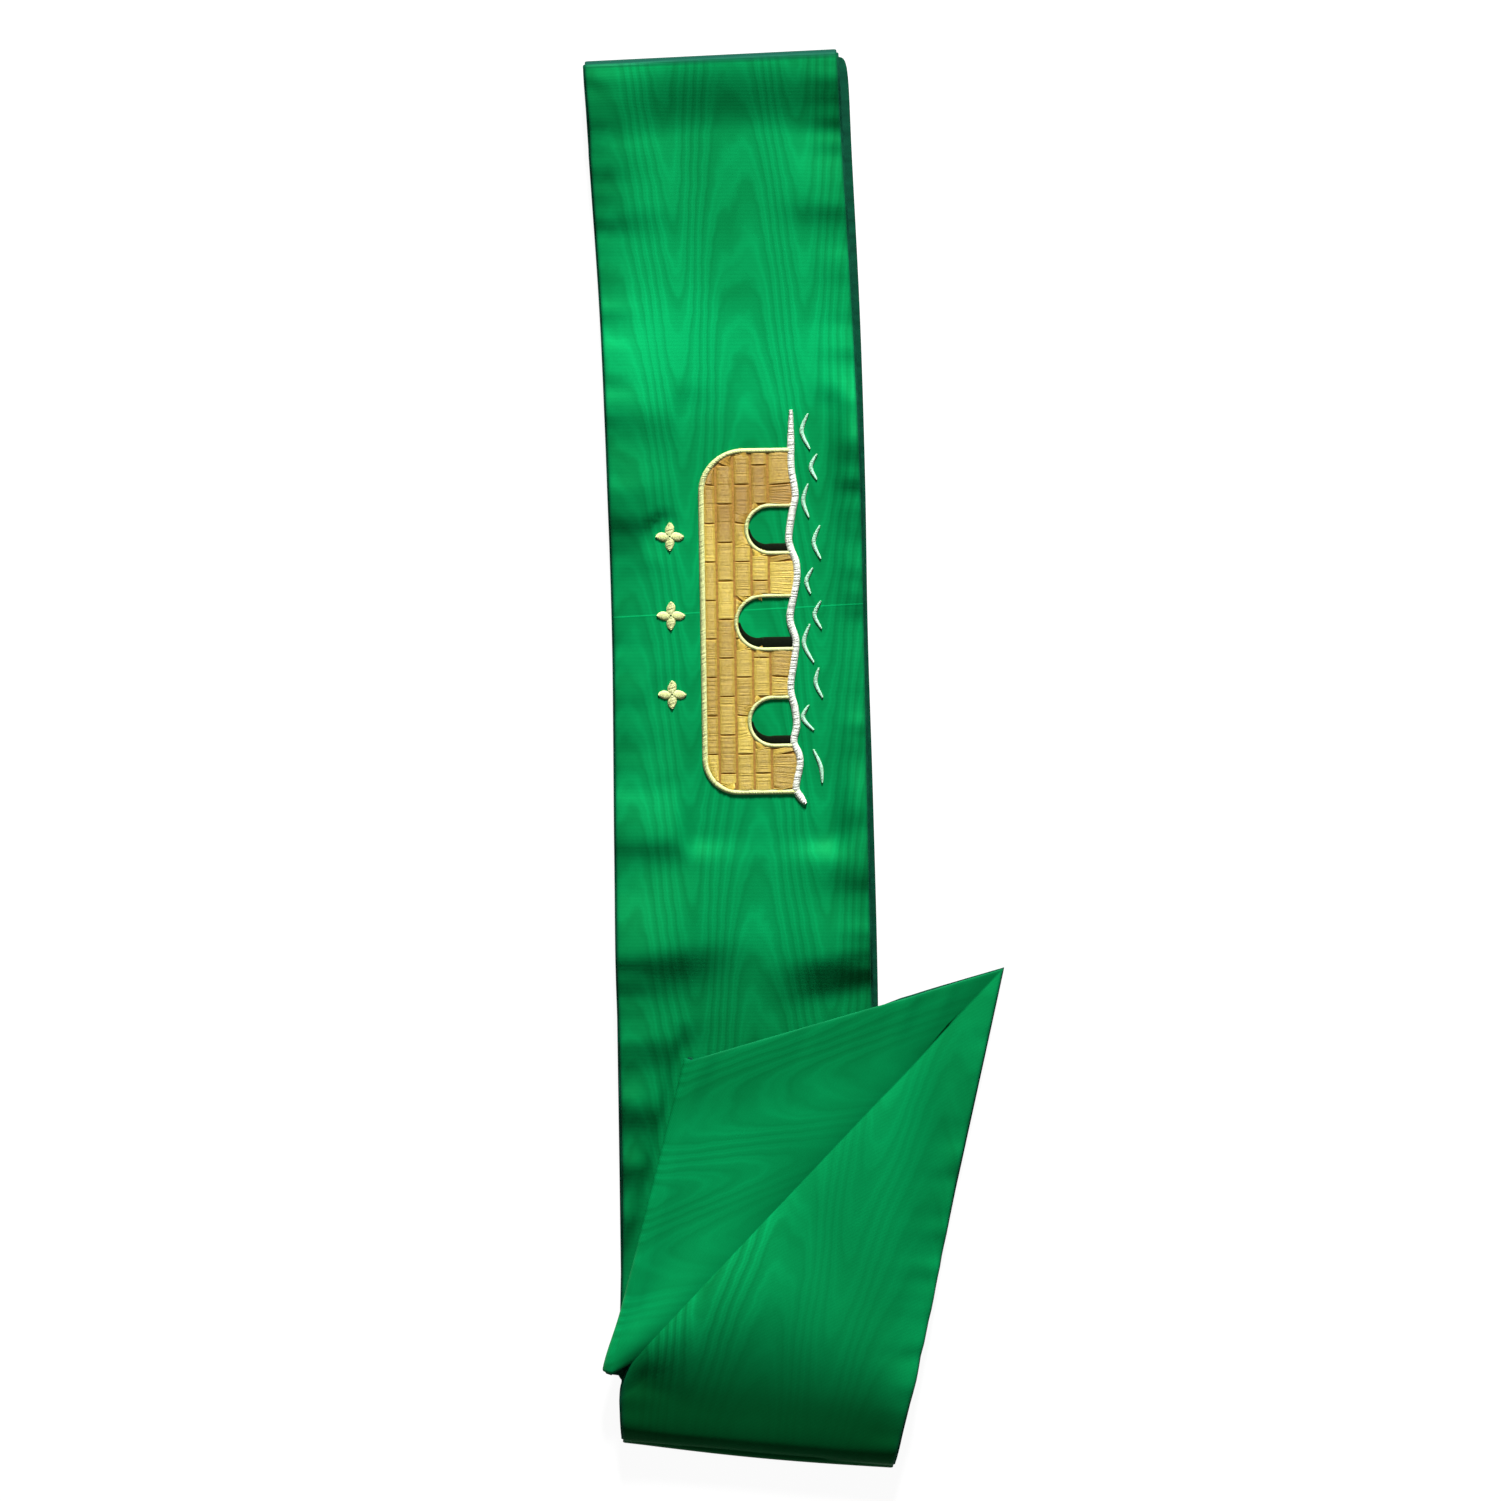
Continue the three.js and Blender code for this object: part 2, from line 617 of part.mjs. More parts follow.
// The edge of the bridge from one foot over the parapet to the other, drawn in by an inset
function parapetPath(inset) {
  const half = bridgeLength / 2 - inset;
  const top = bridgeTop - inset;
  const far = farCorner - inset;
  const near = nearCorner - inset;
  const path = new THREE.Path();
  path.moveTo(half, bridgeFoot);
  path.lineTo(half, top - far);
  path.absarc(half - far, top - far, far, 0, Math.PI / 2, false);
  path.lineTo(near - half, top);
  path.absarc(near - half, top - near, near, Math.PI / 2, Math.PI, false);
  path.lineTo(-half, bridgeFoot);
  return path;
}

function archSizes(arch) {
  const radius = arch.radius * bridgeLength;
  const crown = bridgeFoot + arch.crown * bridgeHeight;
  return { middle: arch.middle * bridgeLength, radius, spring: crown - radius };
}

// An arch from its right foot over the crown to its left foot, widened by a margin
function archPath(arch, margin) {
  const { middle, radius, spring } = archSizes(arch);
  const span = radius + margin;
  const path = new THREE.Path();
  path.moveTo(middle + span, bridgeFoot);
  path.lineTo(middle + span, spring);
  path.absarc(middle, spring, span, 0, Math.PI, false);
  path.lineTo(middle - span, bridgeFoot);
  return path;
}

function extruded(points, depth) {
  const options = { depth, bevelEnabled: false };
  return new THREE.ExtrudeGeometry(new THREE.Shape(points), options);
}

// The gold field with its arches cut out, closed across the foot of each arch by nothing
function fieldSolid(inset, depth) {
  const archMargin = archCordWidth / 2 + stitchGap + inset;
  let field = asSolid(extruded(parapetPath(cordWidth / 2 + stitchGap + inset)
    .getPoints(arcSegments), depth));
  for (const arch of arches) {
    const points = archPath(arch, archMargin).getPoints(arcSegments);
    points[0].y -= bridgeHeight;
    points[points.length - 1].y -= bridgeHeight;
    const cutter = extruded(points, 3 * depth).translate(0, 0, -depth);
    field = field.subtract(asSolid(cutter));
  }
  return field;
}

// Raised bricks in running bond, trimmed to the field
function bridgeMasonry() {
  const bricksAcross = Math.ceil(bridgeLength / brickLength) + 1;
  const total = bridgeThickness + brickRise;
  let bricks = null;
  for (let course = 0; course < brickCourses; course += 1) {
    const shift = (course % 2) * brickLength / 2;
    const level = bridgeFoot + (course + 0.5) * brickHeight;
    for (let i = 0; i < bricksAcross; i += 1) {
      const along = (i + 0.5) * brickLength - bridgeLength / 2 - shift;
      const size = [brickLength - brickJoint, brickHeight - brickJoint, total];
      const box = new THREE.BoxGeometry(...size).translate(along, level, total / 2);
      const brick = asSolid(box);
      bricks = bricks ? bricks.add(brick) : brick;
    }
  }
  const raised = bricks.intersect(fieldSolid(brickJoint / 2, total));
  return fromSolid(fieldSolid(0, bridgeThickness).add(raised));
}

const evenWidth = (width) => () => width;

function archCord(arch) {
  const path = archPath(arch, 0).getPoints(arcSegments);
  return satinStrip(path, evenWidth(archCordWidth), cordRise);
}

// The black stitching along one side of an arch, thinning out towards the crown
function archShadow(arch) {
  const { middle, radius, spring } = archSizes(arch);
  const outer = radius - archCordWidth / 2 - stitchGap;
  const points = [];
  const inner = [];
  points.push(new THREE.Vector2(middle - outer, bridgeFoot));
  inner.push(new THREE.Vector2(middle - outer + shadowDepth, bridgeFoot));
  for (let step = 0; step <= arcSegments; step += 1) {
    const share = step / arcSegments;
    const angle = Math.PI - share * Math.PI / 2;
    const depth = shadowDepth * (1 - 0.8 * share);
    const direction = new THREE.Vector2(Math.cos(angle), Math.sin(angle));
    const centre = new THREE.Vector2(middle, spring);
    points.push(centre.clone().addScaledVector(direction, outer));
    inner.push(centre.clone().addScaledVector(direction, outer - depth));
  }
  return extruded([...points, ...inner.reverse()], shadowRise);
}

function waterCord() {
  const points = waterLine.map((point) => new THREE.Vector2(
    point.along * bridgeLength,
    -point.below * bridgeHeight,
  ));
  const path = new THREE.SplineCurve(points).getPoints(Math.ceil(points.length * 1.4));
  return satinStrip(path, evenWidth(waterCordWidth), waterCordRise);
}

function waveStitch(wave) {
  const from = wave.from * bridgeLength;
  const to = wave.to * bridgeLength;
  const curve = new THREE.SplineCurve([
    new THREE.Vector2(from, -wave.start * bridgeHeight),
    new THREE.Vector2((from + to) / 2, -wave.middle * bridgeHeight),
    new THREE.Vector2(to, -wave.end * bridgeHeight),
  ]);
  const width = (share) => waveWidth * (0.35 + 0.65 * Math.sin(Math.PI * share));
  return satinStrip(curve.getPoints(waveSegments), width, waveRise);
}

// A small four-lobed ornament
function motif() {
  const lobe = motifSpan / 4;
  const shape = new THREE.Shape();
  shape.moveTo(lobe, -lobe);
  shape.absarc(lobe, 0, lobe, -Math.PI / 2, Math.PI / 2, false);
  shape.absarc(0, lobe, lobe, 0, Math.PI, false);
  shape.absarc(-lobe, 0, lobe, Math.PI / 2, 3 * Math.PI / 2, false);
  shape.absarc(0, -lobe, lobe, Math.PI, 2 * Math.PI, false);
  const options = { depth: motifRise, bevelEnabled: false, curveSegments: lobeSegments };
  return new THREE.ExtrudeGeometry(shape, options);
}

function embroidery() {
  const group = new THREE.Group();
  group.add(namedMesh("bridge_masonry", bridgeMasonry(), goldMaterial));
  const outline = parapetPath(0).getPoints(arcSegments);
  const outlineCord = satinStrip(outline, evenWidth(cordWidth), cordRise);
  group.add(namedMesh("bridge_outline_cord", outlineCord, paleGoldMaterial));
  arches.forEach((arch, i) => {
    group.add(namedMesh(`arch_cord_${i + 1}`, archCord(arch), paleGoldMaterial));
    group.add(namedMesh(`arch_shadow_${i + 1}`, archShadow(arch), shadowMaterial));
  });
  group.add(namedMesh("water_cord", waterCord(), whiteMaterial));
  waves.forEach((wave, i) => {
    const number = String(i + 1).padStart(2, "0");
    group.add(namedMesh(`wave_stitch_${number}`, waveStitch(wave), waveMaterial));
  });
  for (let i = 0; i < 3; i += 1) {
    const mesh = namedMesh(`motif_${i + 1}`, motif(), paleGoldMaterial);
    mesh.position.set(motifStart + i * motifSpacing, motifHeight + bridgeFoot, 0);
    group.add(mesh);
  }
  group.rotation.z = degToRad(bridgeTurn);
  group.position.set(bridgeCentre.x, bridgeCentre.y, frontTop + plyGap);
  return group;
}

const noLift = () => 0;
const silk = plyGeometry(1, liningMargin, plyGap / 2, silkSide, silkLift);
const lining = plyGeometry(liningRowStride, 0, -liningSide, -plyGap / 2, noLift);

const sash = new THREE.Group();
sash.add(namedMesh("moire_ribbon", silk, silkMaterial));
sash.add(namedMesh("lining", lining, liningMaterial));
sash.add(embroidery());

// The origin is in the middle of the ground that the sash covers
const box = new THREE.Box3().setFromObject(sash);
const middle = box.getCenter(new THREE.Vector3());
sash.position.set(-middle.x, -middle.y, -box.min.z);

export default sash;
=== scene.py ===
"""A broad watered silk sash of an order, folded in two and laid flat on a pale ground."""

import math

import bpy
import numpy as np
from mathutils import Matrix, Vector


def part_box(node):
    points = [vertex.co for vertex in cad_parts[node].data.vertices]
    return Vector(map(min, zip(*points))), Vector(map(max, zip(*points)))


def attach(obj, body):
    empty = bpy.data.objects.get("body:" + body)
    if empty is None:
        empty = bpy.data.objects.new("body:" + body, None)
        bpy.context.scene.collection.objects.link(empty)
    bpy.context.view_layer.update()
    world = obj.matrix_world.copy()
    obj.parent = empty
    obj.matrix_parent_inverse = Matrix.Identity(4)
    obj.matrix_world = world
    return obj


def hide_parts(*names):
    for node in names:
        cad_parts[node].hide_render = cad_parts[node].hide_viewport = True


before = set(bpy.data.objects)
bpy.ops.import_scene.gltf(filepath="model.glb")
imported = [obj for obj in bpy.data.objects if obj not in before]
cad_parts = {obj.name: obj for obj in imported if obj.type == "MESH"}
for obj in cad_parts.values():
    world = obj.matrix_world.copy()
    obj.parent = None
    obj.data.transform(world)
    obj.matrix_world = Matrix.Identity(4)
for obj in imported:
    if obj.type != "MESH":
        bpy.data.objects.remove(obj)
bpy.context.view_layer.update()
scene = bpy.context.scene


# The camera, the light and the ground. The sash is seen from straight above, with a long lens, and
# lit by one broad soft light low beyond its shoulder fold and a weak one from above.
photo_pixels = 1501
pixel = 0.4032e-3
object_middle = (792.0, 759.0)
camera_height = 3.0
frame_middle = photo_pixels / 2

camera_data = bpy.data.cameras.new("camera")
camera_data.sensor_width = 36.0
camera_data.lens = camera_data.sensor_width * camera_height / (photo_pixels * pixel)
camera = bpy.data.objects.new("camera", camera_data)
camera.location = (
    (frame_middle - object_middle[0]) * pixel,
    (object_middle[1] - frame_middle) * pixel,
    camera_height,
)
scene.collection.objects.link(camera)
scene.camera = camera
scene.view_settings.view_transform = "Standard"


def soft_light(name, place, size, power):
    data = bpy.data.lights.new(name, "AREA")
    data.shape = "DISK"
    data.size = size
    data.energy = power
    light = bpy.data.objects.new(name, data)
    light.location = place
    direction = -np.array(place)
    flat = math.hypot(direction[0], direction[1])
    light.rotation_euler = (
        math.atan2(flat, -direction[2]),
        0.0,
        math.atan2(direction[0], -direction[1]) + math.pi,
    )
    scene.collection.objects.link(light)


soft_light("window_light", (0.10, 2.20, 1.0), size=0.5, power=190.0)
soft_light("room_light", (0.3, -0.2, 2.6), size=1.6, power=6.0)

world = bpy.data.worlds.new("studio")
world.use_nodes = True
world.node_tree.nodes["Background"].inputs["Color"].default_value = (1.0, 1.0, 1.0, 1.0)
world.node_tree.nodes["Background"].inputs["Strength"].default_value = 0.10
scene.world = world

floor_half = 6.0
floor_corners = [(x * floor_half, y * floor_half, 0) for x, y in ((-1, -1), (1, -1), (1, 1), (-1, 1))]
floor_mesh = bpy.data.meshes.new("ground")
floor_mesh.from_pydata(floor_corners, [], [(0, 1, 2, 3)])
floor = bpy.data.objects.new("ground", floor_mesh)
scene.collection.objects.link(floor)
floor_paint = bpy.data.materials.new("pale_ground")
floor_paint.use_nodes = True
floor_values = {
    "Base Color": (0.10, 0.10, 0.10, 1.0),
    "Emission Color": (1.0, 1.0, 1.0, 1.0),
    "Emission Strength": 0.94,
    "Roughness": 0.9,
    "Specular IOR Level": 0.1,
}
for socket, value in floor_values.items():
    floor_paint.node_tree.nodes["Principled BSDF"].inputs[socket].default_value = value
floor_mesh.materials.append(floor_paint)


# The band: one broad strip of cloth sewn into a loop. It runs down the front, folds under the tip,
# turns back over it at the flap, crosses to the mitre seam, drops to the bottom fold and runs up
# the back. Its two plies, silk and lining, follow one middle surface that is worked out here.
ribbon_width = 0.102
lying_length = 0.572
ply = 0.001
ply_gap = 0.0003
lining_margin = 0.0008
side = ply_gap / 2 + ply
shoulder_bulge = 0.0055
shoulder_roll = 0.35
shoulder_reach = 0.003
shoulder_spread = 0.007
bulge_fall = 0.028
bottom_bulge = 0.0006
bottom_roll = 0.7
bottom_swell = 0.0048
bottom_relax = 0.030
bottom_bow = 0.0012
bow_fade = 0.05
hidden_swell = 0.0052
hidden_swell_breadth = 0.030
swell_at_flap = 0.5
flap_bulge = 0.0008
fold_relax = 0.024
drape_breadth = 0.030
seam_row_distance = 0.0010

# The step of the drop over the fold hidden beneath it, whose start bends in a parabola.
step_middle = -0.166
step_start = 0.8858
step_curve = 0.0795
step_length = 0.045
step_narrowing = (0.157, 0.060)
shortest_step = 0.016

# Rows across each strand: the left and the right selvage, x as a share of the ribbon's width from
# the middle of the lying sash, y as a share of the lying length from its top.
shoulder_row = (-0.826, 0.0092, 0.182, 0.0004)
hidden_row = (-0.673, 0.9372, 0.336, 0.8392)
flap_row = (-0.739, 0.9316, -0.423, 0.7087)
seam_row = (-0.6405, 0.9247, 0.839, 0.6467)
bottom_row = (-0.676, 0.9811, 0.406, 0.9993)
strands = {
    "front": [
        shoulder_row,
        (-0.802, 0.0776, 0.206, 0.0762),
        (-0.759, 0.1904, 0.245, 0.1890),
        (-0.731, 0.3032, 0.275, 0.3011),
        (-0.711, 0.4161, 0.291, 0.4133),
        (-0.704, 0.5289, 0.303, 0.5254),
        (-0.696, 0.6417, 0.317, 0.6375),
        (-0.686, 0.7052, 0.324, 0.6911),
        (-0.674, 0.8212, 0.330, 0.7650),
        hidden_row,
    ],
    "under": [hidden_row, flap_row],
    "tip": [flap_row, seam_row],
    "drop": [
        seam_row,
        (-0.678, 0.9415, 0.694, 0.7645),
        (-0.680, 0.9605, 0.549, 0.8822),
        bottom_row,
    ],
    "back": [
        bottom_row,
        (-0.676, 0.8674, 0.352, 0.8815),
        (-0.692, 0.6700, 0.340, 0.6700),
        (-0.704, 0.5289, 0.320, 0.5254),
        (-0.711, 0.4161, 0.300, 0.4133),
        (-0.731, 0.3032, 0.289, 0.3011),
        (-0.759, 0.1904, 0.269, 0.1890),
        (-0.802, 0.0776, 0.237, 0.0762),
        (-0.8235, 0.0180, 0.2185, 0.0150),
        shoulder_row,
    ],
}


def in_plan(x, y):
    return np.array([x * ribbon_width, (0.5 - y) * lying_length])


def row_in_plan(row):
    return np.array([in_plan(row[0], row[1]), in_plan(row[2], row[3])])


def unit(vector):
    return vector / np.linalg.norm(vector, axis=-1, keepdims=True)


def smooth(value, low, high):
    share = np.clip((value - low) / (high - low), 0.0, 1.0)
    return share * share * (3.0 - 2.0 * share)


def inward_of(row, inner):
    along = unit(row[1] - row[0])
    normal = np.array([-along[1], along[0]])
    return normal * np.sign(normal @ (inner - row[0]))


def distance_from(row, inner, place):
    return (place - row[0]) @ inward_of(row, inner)


def inside_flap(place):
    return distance_from(flap_fold, mitre_seam[1], place)


def above_bottom(place):
    return distance_from(bottom_fold, seam_middle, place)


def beside_mitre(place):
    return np.abs(distance_from(mitre_seam, bottom_middle, place))


def selvage_x(name, end, y):
    points = np.array([row_in_plan(row)[end] for row in strands[name]])
    points = points[np.argsort(points[:, 1])]
    return np.interp(y, points[:, 1], points[:, 0])


shoulder_fold = row_in_plan(shoulder_row)
hidden_fold = row_in_plan(hidden_row)
flap_fold = row_in_plan(flap_row)
mitre_seam = row_in_plan(seam_row)
bottom_fold = row_in_plan(bottom_row)
flap_selvage = np.array([flap_fold[1], mitre_seam[1]])
hidden_middle = hidden_fold.mean(axis=0)
seam_middle = mitre_seam.mean(axis=0)
bottom_middle = bottom_fold.mean(axis=0)

rest_height = {"ground": side, "back": side}
rest_height["front"] = rest_height["back"] + 2 * side + ply_gap
rest_height["under"] = rest_height["front"] + 2 * side + ply_gap
rest_height["tip"] = rest_height["under"] + 2 * side + ply_gap
front_top = rest_height["front"] + side

# How far inside its shown line each fold's half roll starts.
fold_inset = {
    "shoulder": shoulder_roll * (rest_height["front"] - rest_height["back"] + shoulder_bulge) / 2
    + side,
    "hidden": (rest_height["under"] - rest_height["front"]) / 2 + side,
    "flap": (rest_height["tip"] - rest_height["under"] + flap_bulge) / 2 + side,
    "bottom": bottom_roll * (rest_height["front"] - rest_height["back"] + bottom_bulge) / 2 + side,
}


def front_height(place):
    below = distance_from(shoulder_fold, hidden_middle, place)
    left = selvage_x("front", 0, place[..., 1])
    right = selvage_x("front", 1, place[..., 1])
    across = 2 * (place[..., 0] - left) / (right - left) - 1
    start = shoulder_reach + shoulder_spread * np.minimum(across**2, 1.0)
    return rest_height["front"] + shoulder_bulge * (1 - smooth(below - start, 0, bulge_fall))


def step_share(place):
    """How far down the fall a place is, from the fold hidden beneath to the bottom strand."""
    bend = (place[..., 0] / ribbon_width - step_middle) ** 2
    start = in_plan(0, step_start)[1] - step_curve * bend
    narrowing = np.where(place[..., 0] < step_middle * ribbon_width, *step_narrowing)
    length = np.maximum(step_length - narrowing * bend, shortest_step)
    return (start - place[..., 1]) / length


def rounded(value, start, end):
    """From 0 to 1 in a quarter round."""
    share = np.clip((value - start) / (end - start), 0, 1)
    return np.sqrt(1 - (1 - share) ** 2)


def top_height(place):
    down = smooth(step_share(place), 0, 1)
    from_bottom = above_bottom(place)
    swell = bottom_swell * rounded(from_bottom, fold_inset["bottom"], bottom_relax)
    landed = rest_height["front"] + swell
    from_flap = smooth(inside_flap(place), 0, fold_relax)
    to_right = np.clip(place[..., 0] / ribbon_width + 0.5, 0, 1)
    above = np.maximum(-step_share(place), 0) * step_length
    swelling = hidden_swell * (1 - to_right) * np.exp(-((above / hidden_swell_breadth) ** 2))
    swelling *= swell_at_flap + (1 - swell_at_flap) * from_flap
    resting = rest_height["tip"] + swelling
    stepped = resting + (landed - resting) * down
    at_flap = flap_bulge * (1 - from_flap)
    at_bottom = bottom_bulge * (1 - smooth(from_bottom, 0, fold_relax))
    draped = smooth(place[..., 0] - selvage_x("back", 1, place[..., 1]), 0, drape_breadth)
    lying = stepped + at_flap + at_bottom
    return lying + (rest_height["ground"] - lying) * draped


def level_height(name):
    return lambda place: np.full(place.shape[:-1], rest_height[name])


height_of = {
    "front": front_height,
    "under": level_height("under"),
    "tip": top_height,
    "drop": top_height,
    "back": level_height("back"),
}


def spline(points, shares):
    points = np.asarray(points)
    last = len(points) - 1
    at = np.asarray(shares) * last
    i = np.minimum(at.astype(int), last - 1)
    t = (at - i)[:, None]
    before, start = points[np.maximum(i - 1, 0)], points[i]
    end, after = points[i + 1], points[np.minimum(i + 2, last)]
    leave, arrive = (end - before) / 2, (after - start) / 2
    return (
        (2 * start - 2 * end + leave + arrive) * t**3
        + (-3 * start + 3 * end - 2 * leave - arrive) * t**2
        + leave * t
        + start
    )


def strand_rows(name, spacing, start_reach, end_reach):
    table = [row_in_plan(row) for row in strands[name]]
    first, last = table[0].mean(axis=0), table[-1].mean(axis=0)
    table[0] = table[0] + inward_of(table[0], last) * start_reach
    table[-1] = table[-1] + inward_of(table[-1], first) * end_reach
    length = max(np.linalg.norm(table[-1][end] - table[0][end]) for end in (0, 1))
    shares = np.linspace(0, 1, max(2, math.ceil(length / spacing)) + 1)
    left = spline([row[0] for row in table], shares)
    right = spline([row[1] for row in table], shares)
    return [{"name": name, "ends": np.array(ends), "turn": None} for ends in zip(left, right)]


def fold_rows(row, following, outward, steps, stretch=1.0):
    made = []
    for step in range(1, steps):
        turned = {"next": following, "outward": outward * stretch, "turn": math.pi * step / steps}
        made.append({**row, **turned})
    return made


def beside_seam(neighbour, seam):
    share = seam_row_distance / np.linalg.norm(neighbour["ends"][1] - seam["ends"][1])
    ends = seam["ends"] + (neighbour["ends"] - seam["ends"]) * share
    return {"name": neighbour["name"], "ends": ends, "turn": None}


def band_rows(spacing, hidden_spacing, steps):
    front = strand_rows("front", spacing, fold_inset["shoulder"], fold_inset["hidden"])
    under = strand_rows("under", hidden_spacing, fold_inset["hidden"], fold_inset["flap"])
    tip = strand_rows("tip", spacing, fold_inset["flap"], 0.0)
    drop = strand_rows("drop", spacing, 0.0, fold_inset["bottom"])
    back = strand_rows("back", hidden_spacing, fold_inset["bottom"], fold_inset["shoulder"])
    past_hidden = -inward_of(hidden_fold, shoulder_fold.mean(axis=0))
    past_flap = -inward_of(flap_fold, mitre_seam[1])
    past_bottom = -inward_of(bottom_fold, seam_middle)
    past_shoulder = -inward_of(shoulder_fold, hidden_middle)
    return (
        front
        + fold_rows(front[-1], "under", past_hidden, steps)
        + under
        + fold_rows(under[-1], "tip", past_flap, steps)
        + tip[:-1]
        + [beside_seam(tip[-2], drop[0]), drop[0], beside_seam(drop[1], drop[0])]
        + drop[1:]
        + fold_rows(drop[-1], "back", past_bottom, steps, bottom_roll)
        + back
        + fold_rows(back[-1], "front", past_shoulder, steps, shoulder_roll)
    )


def middle_points(row, shares):
    left, right = row["ends"]
    place = left + (right - left) * shares[:, None]
    if row["name"] in ("drop", "back"):
        bow = bottom_bow * np.sin(math.pi * shares) * (1 - smooth(above_bottom(place), 0, bow_fade))
        place = place - inward_of(bottom_fold, seam_middle) * bow[:, None]
    height = height_of[row["name"]](place)
    if row["turn"] is None:
        return np.column_stack([place, height])
    following = height_of[row["next"]](place)
    radius = (following - height) / 2
    out = np.abs(radius)[:, None] * math.sin(row["turn"]) * row["outward"]
    rise = (height + following) / 2 - radius * math.cos(row["turn"])
    return np.column_stack([place + out, rise])


# How the cloth lifts off its rest: puckers along the front strand's selvages and the drop's right
# selvage, drawn by the sewing of silk to lining, fine crinkles between them, and a soft swelling on
# both sides of the mitre seam.

# Each pucker: the steepest place along the sash, across the strand, half length, steep side, lean
# up to the right, slope.
front_puckers = [
    (0.0850, 0.060, 0.160, 0.130, 0.00, 0.26),
    (0.1215, 0.100, 0.190, 0.080, 0.00, 0.24),
    (0.2690, 0.080, 0.230, 0.130, 0.00, 0.24),
    (0.3180, 0.100, 0.140, 0.100, 0.00, 0.18),
    (0.3370, 0.080, 0.130, 0.080, 0.00, 0.42),
    (0.3640, 0.120, 0.100, 0.050, 0.00, 0.14),
    (0.4598, 0.080, 0.200, 0.040, 0.00, 0.14),
    (0.4880, 0.100, 0.100, 0.055, 0.00, 0.09),
    (0.5148, 0.200, 0.130, 0.050, 0.20, 0.12),
    (0.5645, 0.170, 0.220, 0.080, 0.05, 0.42),
    (0.6480, 0.170, 0.260, 0.130, 0.14, 0.52),
    (0.6680, 0.110, 0.110, 0.080, 0.15, 0.12),
    (0.7068, 0.100, 0.170, 0.105, 0.00, 0.44),
    (0.7535, 0.060, 0.130, 0.090, 0.00, 0.52),
    (0.7950, 0.050, 0.090, 0.090, 0.00, 0.36),
    (0.8340, 0.030, 0.060, 0.090, 0.00, 0.26),
    (0.1160, 0.900, 0.130, 0.070, 0.00, 0.24),
    (0.2840, 0.980, 0.120, 0.090, 0.10, 0.42),
    (0.3080, 0.950, 0.130, 0.060, 0.00, 0.36),
    (0.3345, 0.930, 0.150, 0.085, 0.00, 0.26),
    (0.3640, 0.850, 0.080, 0.055, 0.00, 0.10),
    (0.3845, 0.930, 0.120, 0.080, 0.00, 0.14),
    (0.4925, 0.940, 0.120, 0.070, 0.10, 0.22),
    (0.5430, 0.880, 0.130, 0.080, 0.00, 0.28),
    (0.5850, 0.940, 0.150, 0.110, 0.00, 0.32),
    (0.6500, 0.850, 0.190, 0.125, 0.20, 0.44),
]
drop_puckers = [
    (0.7230, 1.00, 0.070, 0.040, 0.30, 0.12),
    (0.7840, 1.00, 0.060, 0.040, 0.30, 0.08),
    (0.8940, 1.00, 0.060, 0.040, 0.20, 0.12),
    (0.9150, 1.00, 0.060, 0.035, 0.20, 0.12),
    (0.9450, 1.00, 0.070, 0.035, 0.10, 0.18),
]
long_side = 2.7
outer_reach = 2.0
crinkle_rise = 0.00045
crinkle_breadth = 0.011
crinkle_spacing = 0.0052
seam_swell = 0.0016
seam_swell_breadth = 0.007
seam_stillness = 0.006
crinkle_count, crinkle_sets, crinkle_start = 512, 4, 100
bridge_centre = in_plan(-0.214, 0.4034)
bridge_turn = math.radians(90.9)
embroidery_reach = {"along": 0.0853, "top": 0.0155, "foot": -0.0348}
motif_start, motif_spacing, motif_level = -0.029, 0.0318, 0.0269
motif_count = 3
ornament_reach = 0.0060

# The distances over which the lift fades in, from the embroidery and from the flap.
still_cloth = (0.0005, 0.006)
beside_flap_fade = (0.001, 0.006)
above_flap_fade = (0.001, 0.014)
draws = np.random.default_rng(7)
crinkle_draws = draws.uniform(-1.0, 1.0, (crinkle_sets, crinkle_count))


def pucker_lift(table, place, selvage):
    """Bell-shaped puckers, which are steepest at the root of a half of their breadth."""
    lift = np.zeros(place.shape[:-1])
    for along, across, reach_share, steep_share, lean, slope in table:
        offset = place[..., 0] - selvage - across * ribbon_width
        steep = steep_share * ribbon_width
        crest = in_plan(0, along)[1] + lean * offset + steep * math.sqrt(0.5)
        above = place[..., 1] - crest
        spread = np.where(above > 0, long_side * steep, steep)
        outside = offset * (across - 0.5) > 0
        reach = reach_share * ribbon_width * np.where(outside, outer_reach, 1.0)
        fade = np.exp(-((offset / reach) ** 2))
        rise = slope * steep / math.sqrt(2 / math.e)
        lift += rise * fade * np.exp(-((above / spread) ** 2))
    return lift


def crinkle_lift(along, from_left, from_right, set_number):
    lift = np.zeros(along.shape)
    for index, distance in enumerate((from_left, from_right)):
        at = along / crinkle_spacing + crinkle_start * (index + 1)
        whole = np.floor(at).astype(int)
        t = at - whole
        t = t * t * (3 - 2 * t)
        values = crinkle_draws[(set_number + index) % crinkle_sets]
        wave = values[whole % crinkle_count] * (1 - t) + values[(whole + 1) % crinkle_count] * t
        lift += crinkle_rise * (1 + wave) * np.exp(-((distance / crinkle_breadth) ** 2))
    return lift


def from_embroidery(place):
    offset = place - bridge_centre
    along = offset[..., 0] * math.cos(bridge_turn) + offset[..., 1] * math.sin(bridge_turn)
    up = offset[..., 1] * math.cos(bridge_turn) - offset[..., 0] * math.sin(bridge_turn)
    beyond = np.maximum(np.abs(along) - embroidery_reach["along"], 0)
    above = np.maximum(np.maximum(up - embroidery_reach["top"], embroidery_reach["foot"] - up), 0)
    nearest = np.hypot(beyond, above) / 2
    for index in range(motif_count):
        away = np.hypot(along - motif_start - index * motif_spacing, up - motif_level)
        nearest = np.minimum(nearest, np.maximum(away - ornament_reach, 0))
    return nearest


